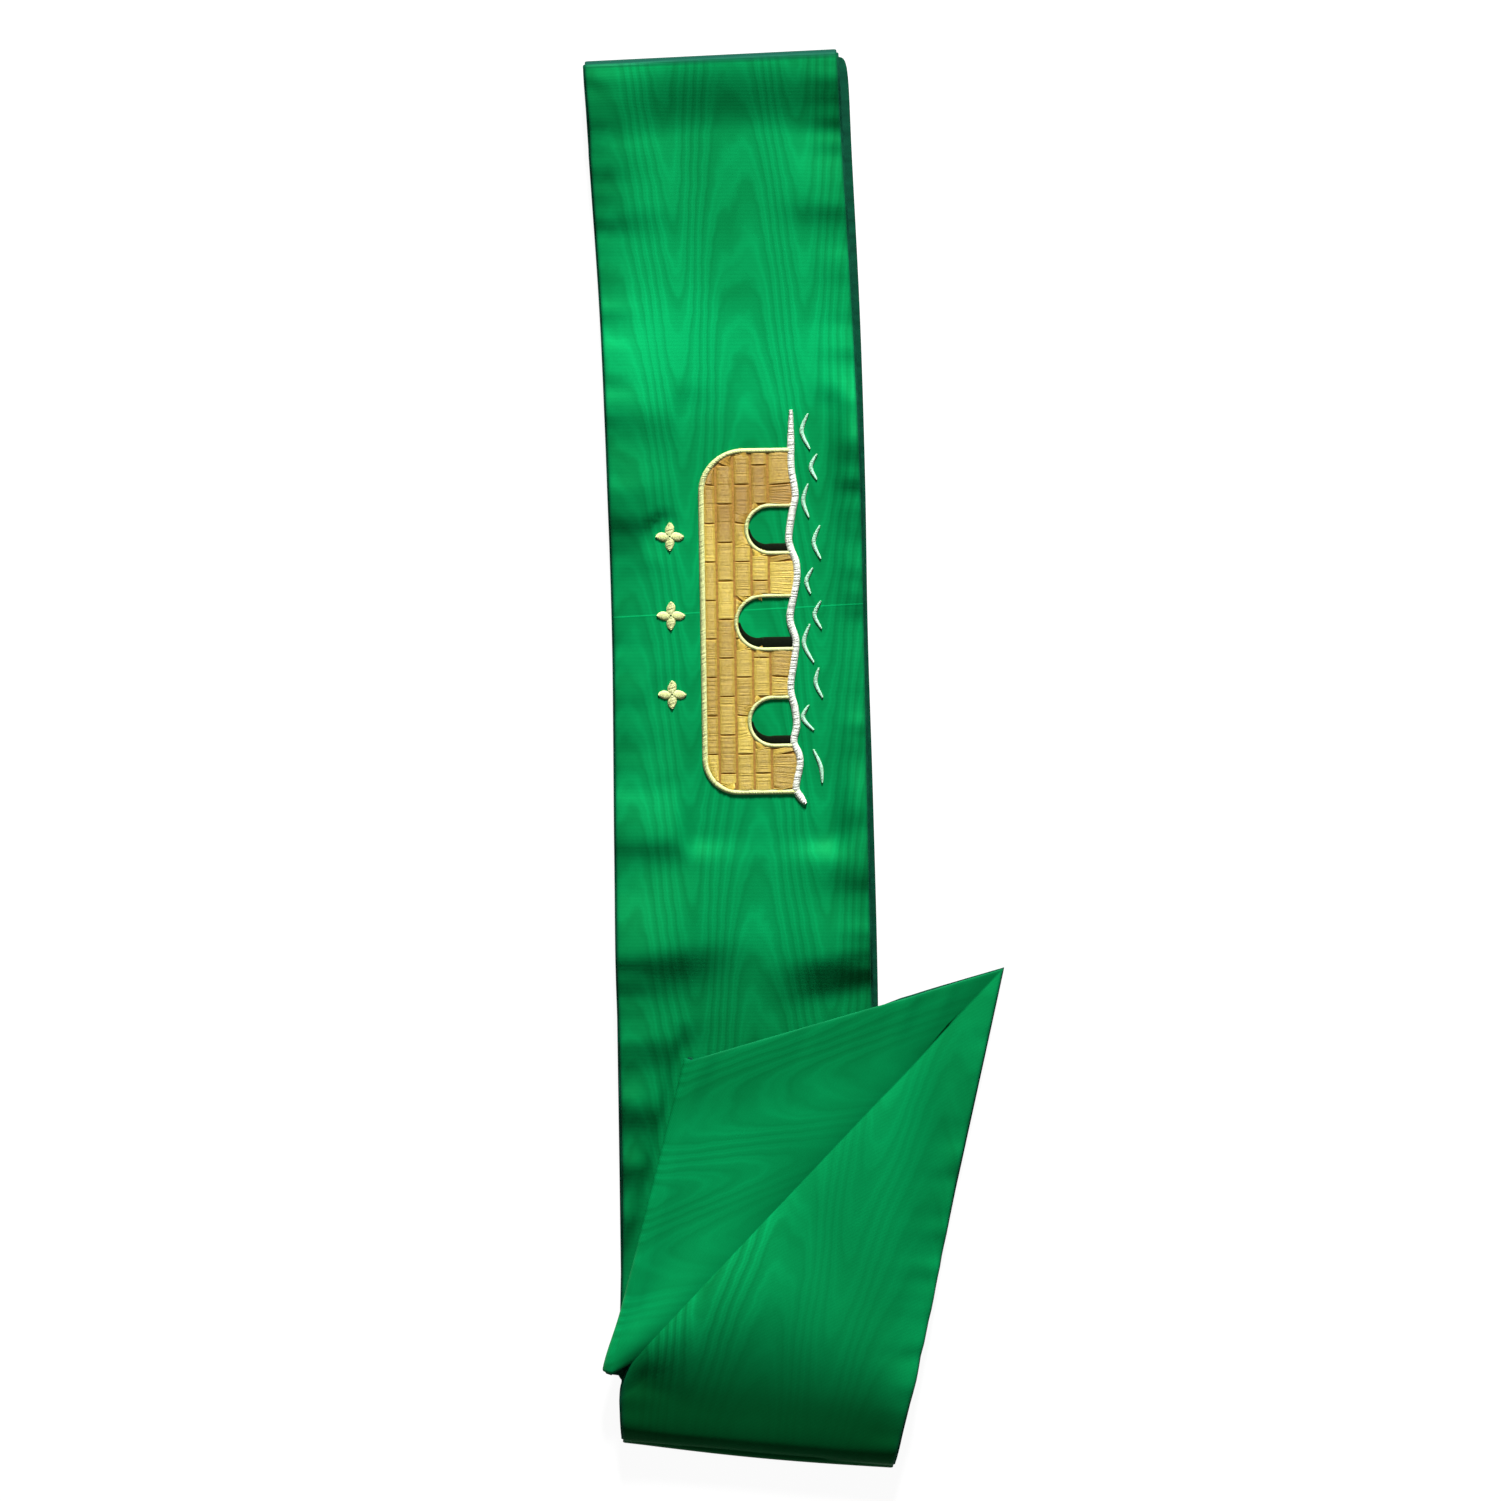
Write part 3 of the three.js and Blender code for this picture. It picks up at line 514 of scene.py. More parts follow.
def front_lift(place, shares):
    left = selvage_x("front", 0, place[..., 1])
    lift = pucker_lift(front_puckers, place, left)
    lift += crinkle_lift(place[..., 1] + 1, shares * ribbon_width, (1 - shares) * ribbon_width, 0)
    beside_flap = smooth(-inside_flap(place), *beside_flap_fade)
    above_flap = smooth(-distance_from(flap_selvage, mitre_seam[0], place), *above_flap_fade)
    lift *= smooth(from_embroidery(place), *still_cloth)
    return lift * np.maximum(beside_flap, above_flap)


def top_lift(place, shares, name):
    from_seam = beside_mitre(place)
    fold = flap_fold if name == "tip" else bottom_fold
    from_fold = distance_from(fold, seam_middle, place)
    free = smooth(from_fold, 0, seam_swell_breadth)
    lift = seam_swell * free * (1 - np.exp(-from_seam / seam_swell_breadth))
    free = free * (1 - np.exp(-((from_seam / seam_stillness) ** 2)))
    lift += crinkle_lift(from_fold + 1, shares * ribbon_width, (1 - shares) * ribbon_width, 2) * free
    if name == "drop":
        right = selvage_x("drop", 1, place[..., 1])
        lift += pucker_lift(drop_puckers, place, right - ribbon_width) * free
    return lift


def lift_of(row, points, shares):
    if row["turn"] is not None or row["name"] in ("under", "back"):
        return np.zeros(len(points))
    place = points[:, :2]
    if row["name"] == "front":
        return front_lift(place, shares)
    return top_lift(place, shares, row["name"])


# How strongly the watering shows: at least, how much more, and where that fades.
front_watering = 0.64
tip_watering = {"least": 0.22, "more": 0.25, "from_seam": (0.003, 0.024)}
drop_watering = {"least": 0.30, "more": 0.62, "across": (-0.020, 0.020), "from_seam": 0.022}
# Painted shade: the drop strand's colour goes this much darker down its fall to the bottom fold.
deepest_drop_shade = 0.86


def tones_of(row, points):
    """How strongly the watering shows, and how much painted shade darkens the drop down its fall, at a
    row's places.
    """
    place = points[:, :2]
    strong, drop_shade = np.full(len(points), front_watering), np.zeros(len(points))
    from_seam = beside_mitre(place)
    if row["name"] == "tip":
        grown = smooth(from_seam, *tip_watering["from_seam"])
        strong = tip_watering["least"] + tip_watering["more"] * grown
    if row["name"] == "drop":
        grown = 1 - smooth(place[:, 0], *drop_watering["across"])
        grown = drop_watering["more"] * grown
        strong = drop_watering["least"] + grown * np.exp(-((from_seam / drop_watering["from_seam"]) ** 2))
        drop_shade = deepest_drop_shade * smooth(step_share(place), 0, 1)
    return np.column_stack([strong, drop_shade])


# Cloth coordinates in metres, across and along the ribbon. Every strand measures from its own
# corner, because the pattern breaks at the mitre seam, where two pieces of ribbon meet.
tip_angle = math.radians(15.5)
drop_angle = math.radians(12.8)
tip_run = unit(np.array([math.cos(tip_angle), math.sin(tip_angle)]))
drop_run = unit(np.array([-math.sin(drop_angle), -math.cos(drop_angle)]))
cloth_start = {"under": 1.0, "tip": 2.0, "drop": 3.0, "back": 5.0}


def across_run(run):
    return np.array([-run[1], run[0]])


def cloth_place(name, points, shares):
    place = points[:, :2]
    if name == "front":
        return np.column_stack([shares * ribbon_width, lying_length / 2 - place[:, 1]])
    start = cloth_start[name]
    if name in ("tip", "drop"):
        run = tip_run if name == "tip" else drop_run
        offset = place - (flap_fold[0] if name == "tip" else mitre_seam[0])
        return np.column_stack([offset @ across_run(run), offset @ run + start])
    return np.column_stack([shares * ribbon_width, place[:, 1] + start])


def cloth_of_strip(rows, middle, shares, i):
    row = rows[i]
    turned_over = row["turn"] is not None and row["turn"] >= math.pi / 2
    name = row["next"] if turned_over else row["name"]
    first = cloth_place(name, middle[i], shares)
    second = cloth_place(name, middle[(i + 1) % len(rows)], shares)
    return first, second


tuck = 0.0022
tuck_over_front = (-0.004, 0.012)
tuck_from_flap = (0.0, 0.004)


def tucked(row):
    """How far the lining stays inside the silk's edge along the flap's top."""
    if row["name"] != "tip" or row["turn"] is not None:
        return 0.0
    corner = row["ends"][1]
    over_front = 1 - smooth(corner[0] - selvage_x("front", 1, corner[1]), *tuck_over_front)
    return tuck * float(over_front * smooth(inside_flap(corner), *tuck_from_flap))


edge_shares = np.array([0.0, 0.0012, 0.004, 0.009])
edge_rounding = 0.0009
edge_height = 0.05
# Painted shade: the silk's colour goes dark along both selvages, at the shoulder fold and just below it.
selvage_shade, selvage_shade_breadth = 0.45, 0.0012
shade_below_shoulder = (0.8, 0.4)


def ply_mesh(name, rows, inset, near, far, bulk_shares):
    """One ply of the band as a closed wall between two distances from the middle surface."""
    shares = np.concatenate([edge_shares, bulk_shares, 1 - edge_shares[::-1]])
    count = len(shares)
    rows = [dict(row) for row in rows]
    for row in rows:
        across = unit(row["ends"][1] - row["ends"][0])
        hem = tucked(row) if far < 0 else 0.0
        row["ends"] = row["ends"] + np.array([across * inset, -across * (inset + hem)])
    middle = np.array([middle_points(row, shares) for row in rows])
    along = np.roll(middle, -1, axis=0) - np.roll(middle, 1, axis=0)
    across = np.gradient(middle, axis=1)
    normals = unit(np.cross(along, across))
    lifts = np.array([lift_of(row, points, shares) for row, points in zip(rows, middle)])
    tones = np.array([tones_of(row, points) for row, points in zip(rows, middle)])
    from_edge = np.minimum(shares, 1 - shares) * ribbon_width
    inside = np.minimum(from_edge / edge_rounding, 1)
    rounding = np.sqrt(np.clip(1 - (1 - inside) ** 2, edge_height, 1))
    centre = (near + far) / 2
    half = (far - near) / 2
    sheets = []
    for sign in (-1, 1):
        distance = centre + sign * half * rounding[None, :] + lifts
        sheets.append(middle + normals * distance[..., None])
    near_sheet, far_sheet = sheets
    total = len(rows)
    vertices = np.concatenate([near_sheet.reshape(-1, 3), far_sheet.reshape(-1, 3)])
    shift = total * count
    faces = []
    corners = []
    for i in range(total):
        following = (i + 1) % total
        first, second = cloth_of_strip(rows, middle, shares, i)
        for j in range(count - 1):
            a, b = i * count + j, following * count + j
            faces.append((shift + a, shift + b, shift + b + 1, shift + a + 1))
            corners.extend((first[j], second[j], second[j + 1], first[j + 1]))
            faces.append((a, a + 1, b + 1, b))
            corners.extend((first[j], first[j + 1], second[j + 1], second[j]))
        for j, turned in ((0, False), (count - 1, True)):
            a, b = i * count + j, following * count + j
            wall = (a, b, shift + b, shift + a)
            uv = (first[j], second[j], second[j], first[j])
            faces.append(wall[::-1] if turned else wall)
            corners.extend(uv[::-1] if turned else uv)
    mesh = bpy.data.meshes.new(name)
    mesh.from_pydata(vertices.tolist(), [], faces)
    # Where the painted shade of the shoulder fold and the selvages lies.
    at_shoulder = [float(row["turn"] is not None and row["next"] == "front") for row in rows]
    at_shoulder[:2] = shade_below_shoulder
    at_selvage = selvage_shade * (1 - smooth(from_edge, 0.0, selvage_shade_breadth))
    shaded_edges = np.maximum(np.array(at_shoulder)[:, None], at_selvage).ravel()
    by_vertex = {
        "edge_shade": shaded_edges,
        "watering": tones[..., 0].ravel(),
        "drop_shade": tones[..., 1].ravel(),
    }
    for label, values in by_vertex.items():
        attribute = mesh.attributes.new(label, "FLOAT", "POINT")
        attribute.data.foreach_set("value", np.concatenate([values, values]))
    layer = mesh.uv_layers.new(name="cloth")
    layer.data.foreach_set("uv", np.array(corners).ravel())
    mesh.polygons.foreach_set("use_smooth", [True] * len(mesh.polygons))
    mesh.update()
    made = bpy.data.objects.new(name, mesh)
    scene.collection.objects.link(made)
    return made


# The CAD model's origin is in the middle of the ground that the sash covers, and the second
# ornament shows how far that is from the middle used here. The camera moves with the sash.
def embroidered(x, y, z=0.0):
    """A place on the embroidery, told along the bridge and up, in the frame of the sash."""
    turned = (
        bridge_centre[0] + x * math.cos(bridge_turn) - y * math.sin(bridge_turn),
        bridge_centre[1] + x * math.sin(bridge_turn) + y * math.cos(bridge_turn),
    )
    return (turned[0] + plan_shift[0], turned[1] + plan_shift[1], front_top + z)


plan_shift = (0.0, 0.0)
low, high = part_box("motif_2")
expected = embroidered(motif_start + motif_spacing, motif_level)
plan_shift = ((low[0] + high[0]) / 2 - expected[0], (low[1] + high[1]) / 2 - expected[1])
camera.location.x += plan_shift[0]
camera.location.y += plan_shift[1]


def put_in_frame(made):
    points = np.empty(len(made.data.vertices) * 3)
    made.data.vertices.foreach_get("co", points)
    points = points.reshape(-1, 3) + np.array([plan_shift[0], plan_shift[1], 0.0])
    made.data.vertices.foreach_set("co", points.ravel())
    made.data.update()


# The silk: watered, ribbed silk, cut 102 mm broad and sewn to its lining along both selvages. The
# watering is pressed into it, which leaves long nested arches up its middle and streaks beside.
silk_rows = band_rows(spacing=0.0022, hidden_spacing=0.010, steps=12)
silk_shares = np.linspace(0.02, 0.98, 50)
silk = ply_mesh("watered_silk", silk_rows, lining_margin, ply_gap / 2, side, silk_shares)
put_in_frame(silk)


def join(tree, value, socket):
    if isinstance(value, bpy.types.NodeSocket):
        tree.links.new(value, socket)
    else:
        socket.default_value = value


def add_node(tree, kind, values=(), **settings):
    made = tree.nodes.new(kind)
    for key, value in settings.items():
        setattr(made, key, value)
    for socket, value in dict(values).items():
        join(tree, value, made.inputs[socket])
    return made


class Shader:
    """A material under construction, whose nodes are added by plain calls."""

    def __init__(self, name):
        self.material = bpy.data.materials.new(name)
        self.material.use_nodes = True
        self.tree = self.material.node_tree
        self.surface = self.tree.nodes["Principled BSDF"]

    def node(self, kind, values=(), **settings):
        return add_node(self.tree, kind, values, **settings)

    def math(self, operation, a, b=0.0):
        return self.node("ShaderNodeMath", {0: a, 1: b}, operation=operation).outputs[0]

    def scaled(self, value, factor):
        return self.math("MULTIPLY", value, factor)

    def added(self, first, *others):
        for other in others:
            first = self.math("ADD", first, other)
        return first

    def less(self, value, taken):
        return self.math("SUBTRACT", value, taken)

    def attribute(self, name):
        return self.node("ShaderNodeAttribute", attribute_name=name).outputs["Fac"]

    def noise(self, place, u_scale, v_scale, shift=0.0, detail=2.0):
        """Noise on both sides of nought, of its own scale across and along the cloth."""
        values = {"Vector": place, "Scale": (u_scale, v_scale, 1.0), "Location": (shift, shift, 0)}
        stretched = self.node("ShaderNodeMapping", values).outputs[0]
        values = {"Vector": stretched, "Scale": 1.0, "Detail": detail}
        made = self.node("ShaderNodeTexNoise", values, noise_dimensions="2D")
        return self.less(made.outputs["Fac"], 0.5)

    def ramp(self, value, stops, smoothly=True):
        made = self.node("ShaderNodeValToRGB", {"Fac": value})
        made.color_ramp.interpolation = "EASE" if smoothly else "LINEAR"
        elements = made.color_ramp.elements
        while len(elements) > 1:
            elements.remove(elements[-1])
        elements[0].position, elements[0].color = stops[0][0], stops[0][1]
        for position, colour in stops[1:]:
            elements.new(position).color = colour
        return made.outputs["Color"]

    def grey(self, value, stops):
        return self.ramp(value, [(at, (tone, tone, tone, 1.0)) for at, tone in stops])

    def mixed(self, share, first, second):
        made = self.node("ShaderNodeMix", {0: share, 6: first, 7: second}, data_type="RGBA")
        return made.outputs[2]

    def bump(self, height, distance, strength):
        values = {"Height": height, "Distance": distance, "Strength": strength}
        made = self.node("ShaderNodeBump", values)
        self.tree.links.new(made.outputs["Normal"], self.surface.inputs["Normal"])

    def set(self, **values):
        for name, value in values.items():
            join(self.tree, value, self.surface.inputs[name.replace("_", " ")])


strand_middle, strand_half = 0.1, 0.5
valley = 0.0265
arch_pitch, arch_rise, arch_sharpness = 0.032, 1.40, 1.6
still_water = 0.33
column_place, column_on_tip, column_on_drop, column_sway = 0.0575, 0.030, 0.006, 0.012
patch_strength = 0.6
# The crease: where it lies, its slant, its sharpness, its painted highlight and its bump relief.
crease_place, crease_slope, crease_sharpness = 0.2291, 0.054, 360.0
crease_highlight, crease_relief = 0.60, 6.0
margin_shade, tip_light = 0.22, 0.16
drop_light, drop_light_start = 2.45, 0.03
# Painted sheen: how much is taken off the painted brightening along the face.
painted_sheen_base = 0.04
rib_pitch, rib_rise = 0.00055, 0.00002

# What disturbs the arches: scale across and along the cloth, shift, detail, and how far.
disturbances = [(16.0, 5.0, 1.7, 0.0, 1.2), (80.0, 14.0, 5.1, 0.0, 0.75), (170.0, 150.0, 9.3, 2.0, 0.28)]

# The nested lines: how many to an arch, where they start, how strong, and their tones.
nested_lines = [
    (1.0, 0.0, 0.50, [(0.0, 0.15), (0.34, 1.0), (0.55, 0.65), (0.85, 0.15), (1.0, 0.15)]),
    (2.0, 0.3, 0.12, [(0.0, 0.15), (0.45, 1.0), (1.0, 0.15)]),
    (3.0, 0.55, 0.13, [(0.0, 0.15), (0.50, 1.0), (1.0, 0.15)]),
]


def watered_silk_finish():
    look = Shader("watered_silk")
    cloth = look.node("ShaderNodeUVMap", uv_map="cloth").outputs[0]
    split = look.node("ShaderNodeSeparateXYZ", {0: cloth})
    across, along = split.outputs[0], split.outputs[1]

    # Each strand has its column of arches at a place of its own across the ribbon.
    on_strand = []
    for name in ("tip", "drop"):
        values = {0: along, 1: cloth_start[name] + strand_middle, 2: strand_half}
        on_strand.append(look.node("ShaderNodeMath", values, operation="COMPARE").outputs[0])
    on_tip, on_drop = on_strand
    column = look.added(look.scaled(on_tip, column_on_tip), column_place)
    column = look.less(column, look.scaled(on_drop, column_on_drop))
    sway = look.scaled(look.noise(cloth, 0.0, 7.0, shift=3.0), column_sway)
    beside = look.less(across, look.added(column, sway))

    # The arches, as a phase that runs along the cloth and lags on both sides of the column.
    swing = look.math("COSINE", look.scaled(beside, math.pi / valley))
    bend = look.math("POWER", look.math("MAXIMUM", look.less(1.0, swing), 0.0), arch_sharpness)
    phase = look.less(look.math("DIVIDE", along, arch_pitch), look.scaled(bend, arch_rise))
    for u_scale, v_scale, shift, detail, size in disturbances:
        phase = look.added(phase, look.scaled(look.noise(cloth, u_scale, v_scale, shift, detail), size))
    lines = []
    for number, begin, strength, stops in nested_lines:
        line = look.math("FRACT", look.added(look.scaled(phase, number), begin))
        lines.append(look.scaled(look.grey(line, stops), strength))
    water = look.scaled(look.less(look.added(*lines), still_water), look.attribute("watering"))
    patches = look.scaled(look.noise(cloth, 26.0, 12.0, shift=12.0, detail=3.0), patch_strength)
    tone = look.added(water, still_water, patches)

    # A painted sheen is brightest above the embroidery, painted shade darkens both margins, painted light
    # brightens the tip and the drop towards its right, and a sharp crease crosses the middle with a
    # painted highlight along it.
    painted_sheen = look.grey(
        along,
        [(0.0, 0.10), (0.05, 0.18), (0.09, 0.30), (0.118, 0.52), (0.138, 0.48), (0.155, 0.22),
         (0.175, 0.22), (0.20, 0.36), (0.24, 0.36), (0.286, 0.24), (0.302, 0.38), (0.318, 0.30),
         (0.335, 0.20), (0.355, 0.30), (0.38, 0.16), (0.40, 0.12), (0.60, 0.20)],
    )
    inner = look.grey(across, [(0.0, 0.0), (0.022, 1.0), (0.080, 1.0), (0.102, 0.0)])
    to_right = look.less(look.scaled(across, drop_light), drop_light_start)
    from_crease = look.added(look.less(along, crease_place), look.scaled(across, crease_slope))
    crease = look.grey(
        look.added(look.scaled(from_crease, crease_sharpness), 0.5),
        [(0.0, 0.0), (0.32, 0.0), (0.5, 1.0), (0.68, 0.0), (1.0, 0.0)],
    )
    tone = look.added(
        tone,
        look.less(painted_sheen, painted_sheen_base),
        look.scaled(look.less(inner, 1.0), margin_shade),
        look.scaled(to_right, on_drop),
        look.scaled(on_tip, tip_light),
        look.scaled(crease, crease_highlight),
    )

    colour = look.ramp(
        tone,
        [
            (0.0, (0.0004, 0.110, 0.027, 1.0)),
            (0.35, (0.0006, 0.158, 0.041, 1.0)),
            (0.70, (0.0008, 0.215, 0.059, 1.0)),
            (1.0, (0.0010, 0.290, 0.083, 1.0)),
        ],
        smoothly=False,
    )
    rib = look.math("SINE", look.scaled(along, 2 * math.pi / rib_pitch))
    look.bump(look.added(rib, look.scaled(crease, crease_relief)), rib_rise, strength=0.4)
    # Painted shade: the drop goes dark down its fall to the bottom fold.
    colour = look.mixed(look.attribute("drop_shade"), colour, (0.0003, 0.042, 0.008, 1.0))
    # Painted shade along the selvages and at the shoulder fold.
    colour = look.mixed(look.attribute("edge_shade"), colour, (0.002, 0.038, 0.024, 1.0))
    look.set(Base_Color=colour, Metallic=0.15, Roughness=0.55, Specular_IOR_Level=0.02)
    return look.material


silk.data.materials.append(watered_silk_finish())
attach(silk, "root")
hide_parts("moire_ribbon")


# The lining: a dark, plain woven cotton, cut a little broader than the silk so that it shows as a
# thin line along the selvages. It is sewn to the silk's back by hand.
lining_rows = band_rows(spacing=0.0044, hidden_spacing=0.012, steps=12)
lining_shares = np.linspace(0.03, 0.97, 26)
lining = ply_mesh("dark_lining", lining_rows, 0.0, -side, -ply_gap / 2, lining_shares)
put_in_frame(lining)
lining_thread = 0.0006


def lining_finish():
    look = Shader("lining_cloth")
    cloth = look.node("ShaderNodeUVMap", uv_map="cloth").outputs[0]
    split = look.node("ShaderNodeSeparateXYZ", {0: cloth})
    turn = 2 * math.pi / lining_thread
    warp, weft = (look.math("SINE", look.scaled(split.outputs[i], turn)) for i in (0, 1))
    weave = look.scaled(warp, weft)
    slub = look.noise(cloth, 40.0, 260.0, detail=3.0)
    tone = look.added(look.scaled(weave, 0.15), look.added(slub, 0.5))
    colour = look.ramp(
        tone,
        [(0.2, (0.0010, 0.030, 0.015, 1.0)), (0.8, (0.0025, 0.058, 0.028, 1.0))],
        smoothly=False,
    )
    look.bump(look.added(weave, slub), 0.00005, strength=0.6)
    look.set(Base_Color=colour, Roughness=0.8, Specular_IOR_Level=0.03)
    return look.material


lining.data.materials.append(lining_finish())
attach(lining, "root")
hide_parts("lining")


# The gold masonry: a padded brown ground worked over with gold thread in satin stitch, brick by
# brick in running bond, with three arches left open for the silk behind.
bridge_length, bridge_height = 0.1375, 0.0328
bridge_top = bridge_height * 0.427
bridge_foot = bridge_top - bridge_height
far_corner, near_corner = 0.017, 0.0135
outline_cord_width = 0.0021
arch_cord_width = 0.0016
arch_table = [(0.269, 0.0698, 0.454), (-0.004, 0.0785, 0.595), (-0.294, 0.0709, 0.450)]
arches = [
    (middle * bridge_length, radius * bridge_length, bridge_foot + crown * bridge_height)
    for middle, radius, crown in arch_table
]


# The line of the water along the bridge's foot, as shares of the bridge's length and height.
water_line = [
    (0.616, 0.692), (0.516, 0.683), (0.443, 0.683), (0.371, 0.726), (0.314, 0.683),
    (0.244, 0.640), (0.209, 0.665), (0.173, 0.723), (0.127, 0.732), (0.075, 0.692),
    (0.005, 0.640), (-0.058, 0.707), (-0.123, 0.677), (-0.180, 0.637), (-0.215, 0.640),
    (-0.256, 0.683), (-0.308, 0.701), (-0.354, 0.662), (-0.390, 0.723), (-0.425, 0.732),
    (-0.488, 0.680), (-0.517, 0.738), (-0.535, 0.796),
]
above_water = 0.0004


def water_level(x):
    """Where the masonry and the cords of the arches end, just above the water's middle."""
    places = np.array(water_line[::-1]) * (bridge_length, -bridge_height)
    return float(np.interp(x, places[:, 0], places[:, 1])) + above_water


def arc_points(centre_x, centre_y, radius, start, end, count=14):
    angles = np.radians(np.linspace(start, end, count))
    return [(centre_x + radius * math.cos(a), centre_y + radius * math.sin(a)) for a in angles]


def parapet_points(inset):
    half, top = bridge_length / 2 - inset, bridge_top - inset
    far, near = far_corner - inset, near_corner - inset
    return (
        [(half, water_level(half))]
        + arc_points(half - far, top - far, far, 0, 90)
        + arc_points(near - half, top - near, near, 90, 180)
        + [(-half, water_level(-half))]
    )


def arch_points(arch):
    middle, radius, crown = arch
    return (
        [(middle - radius, water_level(middle - radius))]
        + arc_points(middle, crown - radius, radius, 180, 0, count=22)
        + [(middle + radius, water_level(middle + radius))]
    )


def field_bounds(x, inset, arch_margin):
    """The lowest and highest place of the gold field above a place along the bridge."""
    parapet = np.array(parapet_points(inset)[1:-1])
    order = np.argsort(parapet[:, 0], kind="stable")
    top = np.interp(x, parapet[order, 0], parapet[order, 1])
    foot = water_level(x)
    for middle, radius, crown in arches:
        span = radius + arch_margin
        if abs(x - middle) < span:
            foot = max(foot, crown - radius + math.sqrt(span**2 - (x - middle) ** 2))
    return foot, top


strips = 240
hair = 1e-6


def field_mesh(thickness):
    """The padded ground under the bricks, one closed plate built up in narrow strips."""
    inset, margin = outline_cord_width / 2, arch_cord_width / 2
    half = bridge_length / 2 - inset - hair
    places = list(np.linspace(-half, half, strips))
    for middle, radius, _ in arches:
        for edge in (middle - radius - margin, middle + radius + margin):
            places += [edge - hair, edge + hair]
    vertices, faces = [], []
    for x in sorted(places):
        foot, top = field_bounds(x, inset, margin)
        vertices += [embroidered(x, y, z) for y in (foot, top) for z in (0.0, thickness)]
    last = len(vertices) - 4
    for i in range(0, last, 4):
        for a, b in ((0, 2), (2, 3), (3, 1), (1, 0)):
            faces.append((i + a, i + b, i + 4 + b, i + 4 + a))
    faces += [(0, 1, 3, 2), (last, last + 2, last + 3, last + 1)]
    made = bpy.data.meshes.new("brick_ground")
    made.from_pydata(vertices, [], faces)
    made.update()
    return made


def satin_tree():
    """Threads laid side by side across a path, each arched over the padding beneath it."""
    tree = bpy.data.node_groups.new("satin_stitch", "GeometryNodeTree")
    face = tree.interface
    face.new_socket(name="Geometry", in_out="INPUT", socket_type="NodeSocketGeometry")
    for label in ("Thread pitch", "Thread thickness", "Rise", "Slant"):
        face.new_socket(name=label, in_out="INPUT", socket_type="NodeSocketFloat")
    face.new_socket(name="Thread", in_out="INPUT", socket_type="NodeSocketMaterial")
    face.new_socket(name="Geometry", in_out="OUTPUT", socket_type="NodeSocketGeometry")

    def node(kind, values=(), **settings):
        return add_node(tree, kind, values, **settings)

    given = node("NodeGroupInput").outputs
    path = node("GeometryNodeMeshToCurve", {"Mesh": given["Geometry"]})
    values = {"Curve": path.outputs[0], "Length": given["Thread pitch"]}
    even = node("GeometryNodeResampleCurve", values, mode="LENGTH")
    places = node("GeometryNodeCurveToPoints", {"Curve": even.outputs[0]}, mode="EVALUATED")
    values = {"Resolution": 7, "Radius": 0.5, "Start Angle": 0.0, "Sweep Angle": math.pi}
    arc = node("GeometryNodeCurveArc", values).outputs[0]
    values = {"Geometry": arc, "Rotation": (math.pi / 2, 0.0, 0.0), "Scale": (1.0, 2.0, 1.0)}
    arch = node("GeometryNodeTransform", values)
    breadth = node("GeometryNodeInputNamedAttribute", {"Name": "breadth"}, data_type="FLOAT")
    values = {"Min": 0.82, "Max": 1.12, "Seed": 3}
    uneven = node("FunctionNodeRandomValue", values, data_type="FLOAT")
    rise = node("ShaderNodeMath", {0: given["Rise"], 1: uneven.outputs[1]}, operation="MULTIPLY")
    size = node("ShaderNodeCombineXYZ", {0: breadth.outputs[0], 1: 1.0, 2: rise.outputs[0]})
    values = {"Primary Axis": (0.0, 0.0, 1.0), "Secondary Axis": places.outputs["Tangent"]}
    facing = node("FunctionNodeAxesToRotation", values, primary_axis="Z", secondary_axis="Y")
    turn = node("ShaderNodeCombineXYZ", {2: given["Slant"]})
    turned = node("FunctionNodeEulerToRotation", {0: turn.outputs[0]})
    values = {0: facing.outputs[0], 1: turned.outputs[0]}
    slanted = node("FunctionNodeRotateRotation", values, rotation_space="LOCAL")
    values = {
        "Points": places.outputs["Points"],
        "Instance": arch.outputs[0],
        "Rotation": slanted.outputs[0],
        "Scale": size.outputs[0],
    }
    laid = node("GeometryNodeInstanceOnPoints", values)
    real = node("GeometryNodeRealizeInstances", {"Geometry": laid.outputs[0]})
    radius = node("ShaderNodeMath", {0: given["Thread thickness"], 1: 0.5}, operation="MULTIPLY")
    values = {"Resolution": 4, "Radius": radius.outputs[0]}
    section = node("GeometryNodeCurvePrimitiveCircle", values, mode="RADIUS")
    values = {"Curve": real.outputs[0], "Profile Curve": section.outputs[0], "Fill Caps": True}
    threads = node("GeometryNodeCurveToMesh", values)
    round_threads = node("GeometryNodeSetShadeSmooth", {0: threads.outputs[0]})
    values = {"Geometry": round_threads.outputs[0], "Material": given["Thread"]}
    dyed = node("GeometryNodeSetMaterial", values)
    node("NodeGroupOutput", {"Geometry": dyed.outputs[0]})
    return tree


satin = satin_tree()


